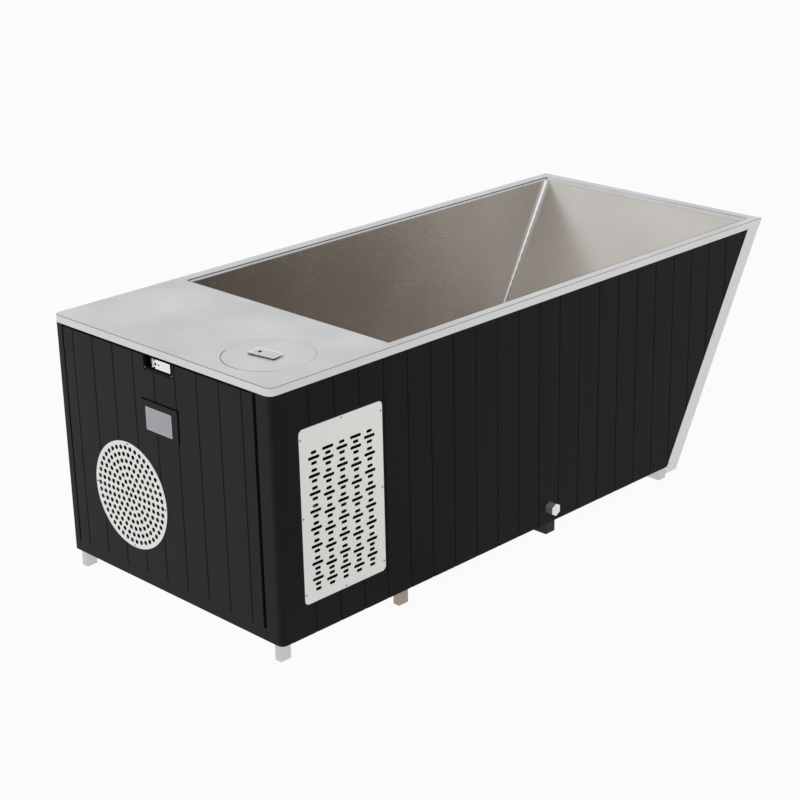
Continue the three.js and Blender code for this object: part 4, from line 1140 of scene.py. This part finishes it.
@dataclass
class Undercarriage:
    """Feet, beams, rails and the other frame tubes."""

    bench: Bench
    foot_ease: float = 1.2 * MM
    tube_ease: float = 0.8 * MM
    beam_ease: float = 1.5 * MM

    def build(self) -> None:
        """Build every foot and bar."""
        for side in ("near", "far"):
            self.bench.soften(FOOT_STEEL, "case", self.foot_ease, f"front_foot_{side}")
            # The middle feet get the darker, browner steel, painted shade under the tub.
            self.bench.soften(SHADED_FOOT_STEEL, "case", self.foot_ease, f"mid_foot_{side}")
            tubes = (f"base_rail_{side}", f"bay_upright_{side}")
            self.bench.soften(GALVANISED, "case", self.tube_ease, *tubes)
        self.bench.soften(BLACK_PAINT, "case", self.beam_ease, "middle_beam")
        self.bench.soften(FOOT_STEEL, "case", self.beam_ease, "rear_beam")
        self.bench.dress(GALVANISED, "base_pan", "basin_bearer_1", "basin_bearer_2")
        slabs = ("near", "far", "end", "floor", "bulkhead")
        self.bench.dress(FOAM, *(f"insulation_{slab}" for slab in slabs))


@dataclass
class Drain:
    """The outlet low on the near side and its hexagonal cap."""

    bench: Bench
    cap_ease: float = 0.8 * MM
    fitting_ease: float = 0.6 * MM

    def build(self) -> None:
        """Build the cap and the fitting."""
        self.bench.soften(CAP_STEEL, "drain_plug", self.cap_ease, "drain_cap")
        self.bench.soften(TRIM_STEEL, "case", self.fitting_ease, "drain_fitting")


@dataclass
class Machinery:
    """The fan, the chiller and the water circuit in the bay."""

    bench: Bench
    casing_ease: float = 1 * MM
    box_ease: float = 3 * MM
    fitting_ease: float = 0.8 * MM
    sheet_ease: float = 0.5 * MM
    thin_ease: float = 0.4 * MM
    pipe_ease: float = 0.3 * MM

    def build(self) -> None:
        """Dress every machine."""
        soften = self.bench.soften
        soften(BLACK_PAINT, "case", self.sheet_ease, "fan_shroud")
        soften(DARK_PLASTIC, "case", self.casing_ease, "fan_motor")
        soften(DARK_PLASTIC, "fan", self.thin_ease, "fan_rotor")
        soften(FINS, "case", self.pipe_ease, "condenser_coil")
        soften(COMPRESSOR_PAINT, "case", self.casing_ease, "compressor")
        soften(WHITE_PLASTIC, "case", self.casing_ease, "heat_exchanger")
        soften(WHITE_PLASTIC, "case", self.box_ease, "control_box")
        soften(WHITE_PLASTIC, "case", self.casing_ease, "filter_housing")
        soften(FILTER_MEDIA, "case", self.thin_ease, "filter_cartridge")
        soften(DARK_PLASTIC, "filter_top", self.casing_ease, "filter_cap")
        soften(DARK_PLASTIC, "case", self.casing_ease, "circulation_pump")
        soften(TRIM_STEEL, "case", self.fitting_ease, "suction_fitting", "return_fitting")
        soften(COPPER, "case", self.pipe_ease, "discharge_line", "liquid_line", "suction_line")
        hoses = (f"{place}_hose" for place in ("suction", "pump", "filter", "return"))
        soften(HOSE, "case", self.pipe_ease, *hoses)


@dataclass
class Studio:
    """Floor, light and camera."""

    yaw: float = -44.745  # degrees, as are the pitch and the roll
    pitch: float = 20.840
    roll: float = -1.217
    eye: Tuple[float, float, float] = (-3.4587, -3.3137, 2.1044)
    focal_px: float = 1880.4
    frame_px: float = 800.0
    sensor: float = 36.0
    clip_end: float = 100.0
    floor_half: float = 40.0
    floor_grey: float = 0.55  # the colour that gathers light
    floor_white: float = 0.95  # the part of plain white where the floor is seen
    world_light: float = 0.45
    lamp_place: Tuple[float, float, float] = (-3.8, 1.6, 2.0)
    lamp_aim: Tuple[float, float, float] = (-0.8, 0.0, 0.4)
    lamp_size: Tuple[float, float] = (2.8, 2.4)
    lamp_watts: float = 66.0

    def floor(self) -> None:
        """Lay a plain pale floor."""
        shape = bmesh.new()
        bmesh.ops.create_grid(shape, x_segments=1, y_segments=1, size=self.floor_half)
        mesh = bpy.data.meshes.new("floor")
        shape.to_mesh(mesh)
        shape.free()
        made = bpy.data.objects.new("floor", mesh)
        bpy.context.scene.collection.objects.link(made)
        graph = Graph(bpy.data.materials.new("floor_white"))
        grey = (*[self.floor_grey] * 3, 1.0)
        matt = graph.node("ShaderNodeBsdfDiffuse", sockets={"Color": grey})
        white = graph.node("ShaderNodeEmission", sockets={"Strength": 1.0})
        seen = graph.shown() * self.floor_white
        mixed = graph.node("ShaderNodeMixShader", sockets={0: seen, 1: matt, 2: white})
        mesh.materials.append(graph.surface(mixed))

    def lamp(self) -> None:
        """Hang the softbox, left out of reflections."""
        data = bpy.data.lights.new("key", "AREA")
        data.shape, data.energy = "RECTANGLE", self.lamp_watts
        data.size, data.size_y = self.lamp_size
        made = bpy.data.objects.new("key", data)
        made.location = self.lamp_place
        made.visible_glossy = False
        ahead = Vector(self.lamp_aim) - Vector(self.lamp_place)
        made.rotation_euler = ahead.to_track_quat("-Z", "Y").to_euler()
        bpy.context.scene.collection.objects.link(made)

    def light(self) -> None:
        """Set the world and the softbox."""
        graph = Graph(bpy.data.worlds.new("studio"))
        level = graph.shown() * (1.0 - self.world_light) + self.world_light
        white = (1.0, 1.0, 1.0, 1.0)
        sky = graph.node("ShaderNodeBackground", sockets={"Color": white, "Strength": level})
        bpy.context.scene.world = graph.surface(sky)
        self.lamp()

    def camera(self) -> None:
        """Stand the camera at the photograph's place."""
        yaw, pitch, roll = (math.radians(a) for a in (self.yaw, self.pitch, self.roll))
        right = Vector((math.cos(yaw), math.sin(yaw), 0.0))
        level = Vector((-math.sin(yaw), math.cos(yaw), 0.0))
        ahead = level * math.cos(pitch) - Vector((0.0, 0.0, math.sin(pitch)))
        up = right.cross(ahead)
        turned_right = right * math.cos(roll) + up * math.sin(roll)
        turned_up = up * math.cos(roll) - right * math.sin(roll)
        data = bpy.data.cameras.new("camera")
        data.sensor_fit = "HORIZONTAL"
        data.sensor_width = self.sensor
        data.lens = self.sensor * self.focal_px / self.frame_px
        data.clip_end = self.clip_end
        made = bpy.data.objects.new("camera", data)
        axes = Matrix((turned_right, turned_up, -ahead)).transposed()
        made.matrix_world = Matrix.Translation(self.eye) @ axes.to_4x4()
        bpy.context.scene.collection.objects.link(made)
        bpy.context.scene.camera = made

    def build(self) -> None:
        """Set up the whole studio."""
        bpy.context.scene.view_settings.view_transform = "Standard"
        self.camera()
        self.light()
        self.floor()


def main() -> None:
    """Build the studio and every piece."""
    logging.basicConfig(level=logging.INFO, format="%(message)s")
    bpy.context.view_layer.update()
    bench = Bench()
    Studio().build()
    for part in (
        DeckAndBasin, Cladding, FanGrille, VentGrille, Hatch, Latch, Undercarriage, Drain, Machinery,
    ):
        part(bench).build()


if __name__ == "__main__":
    main()
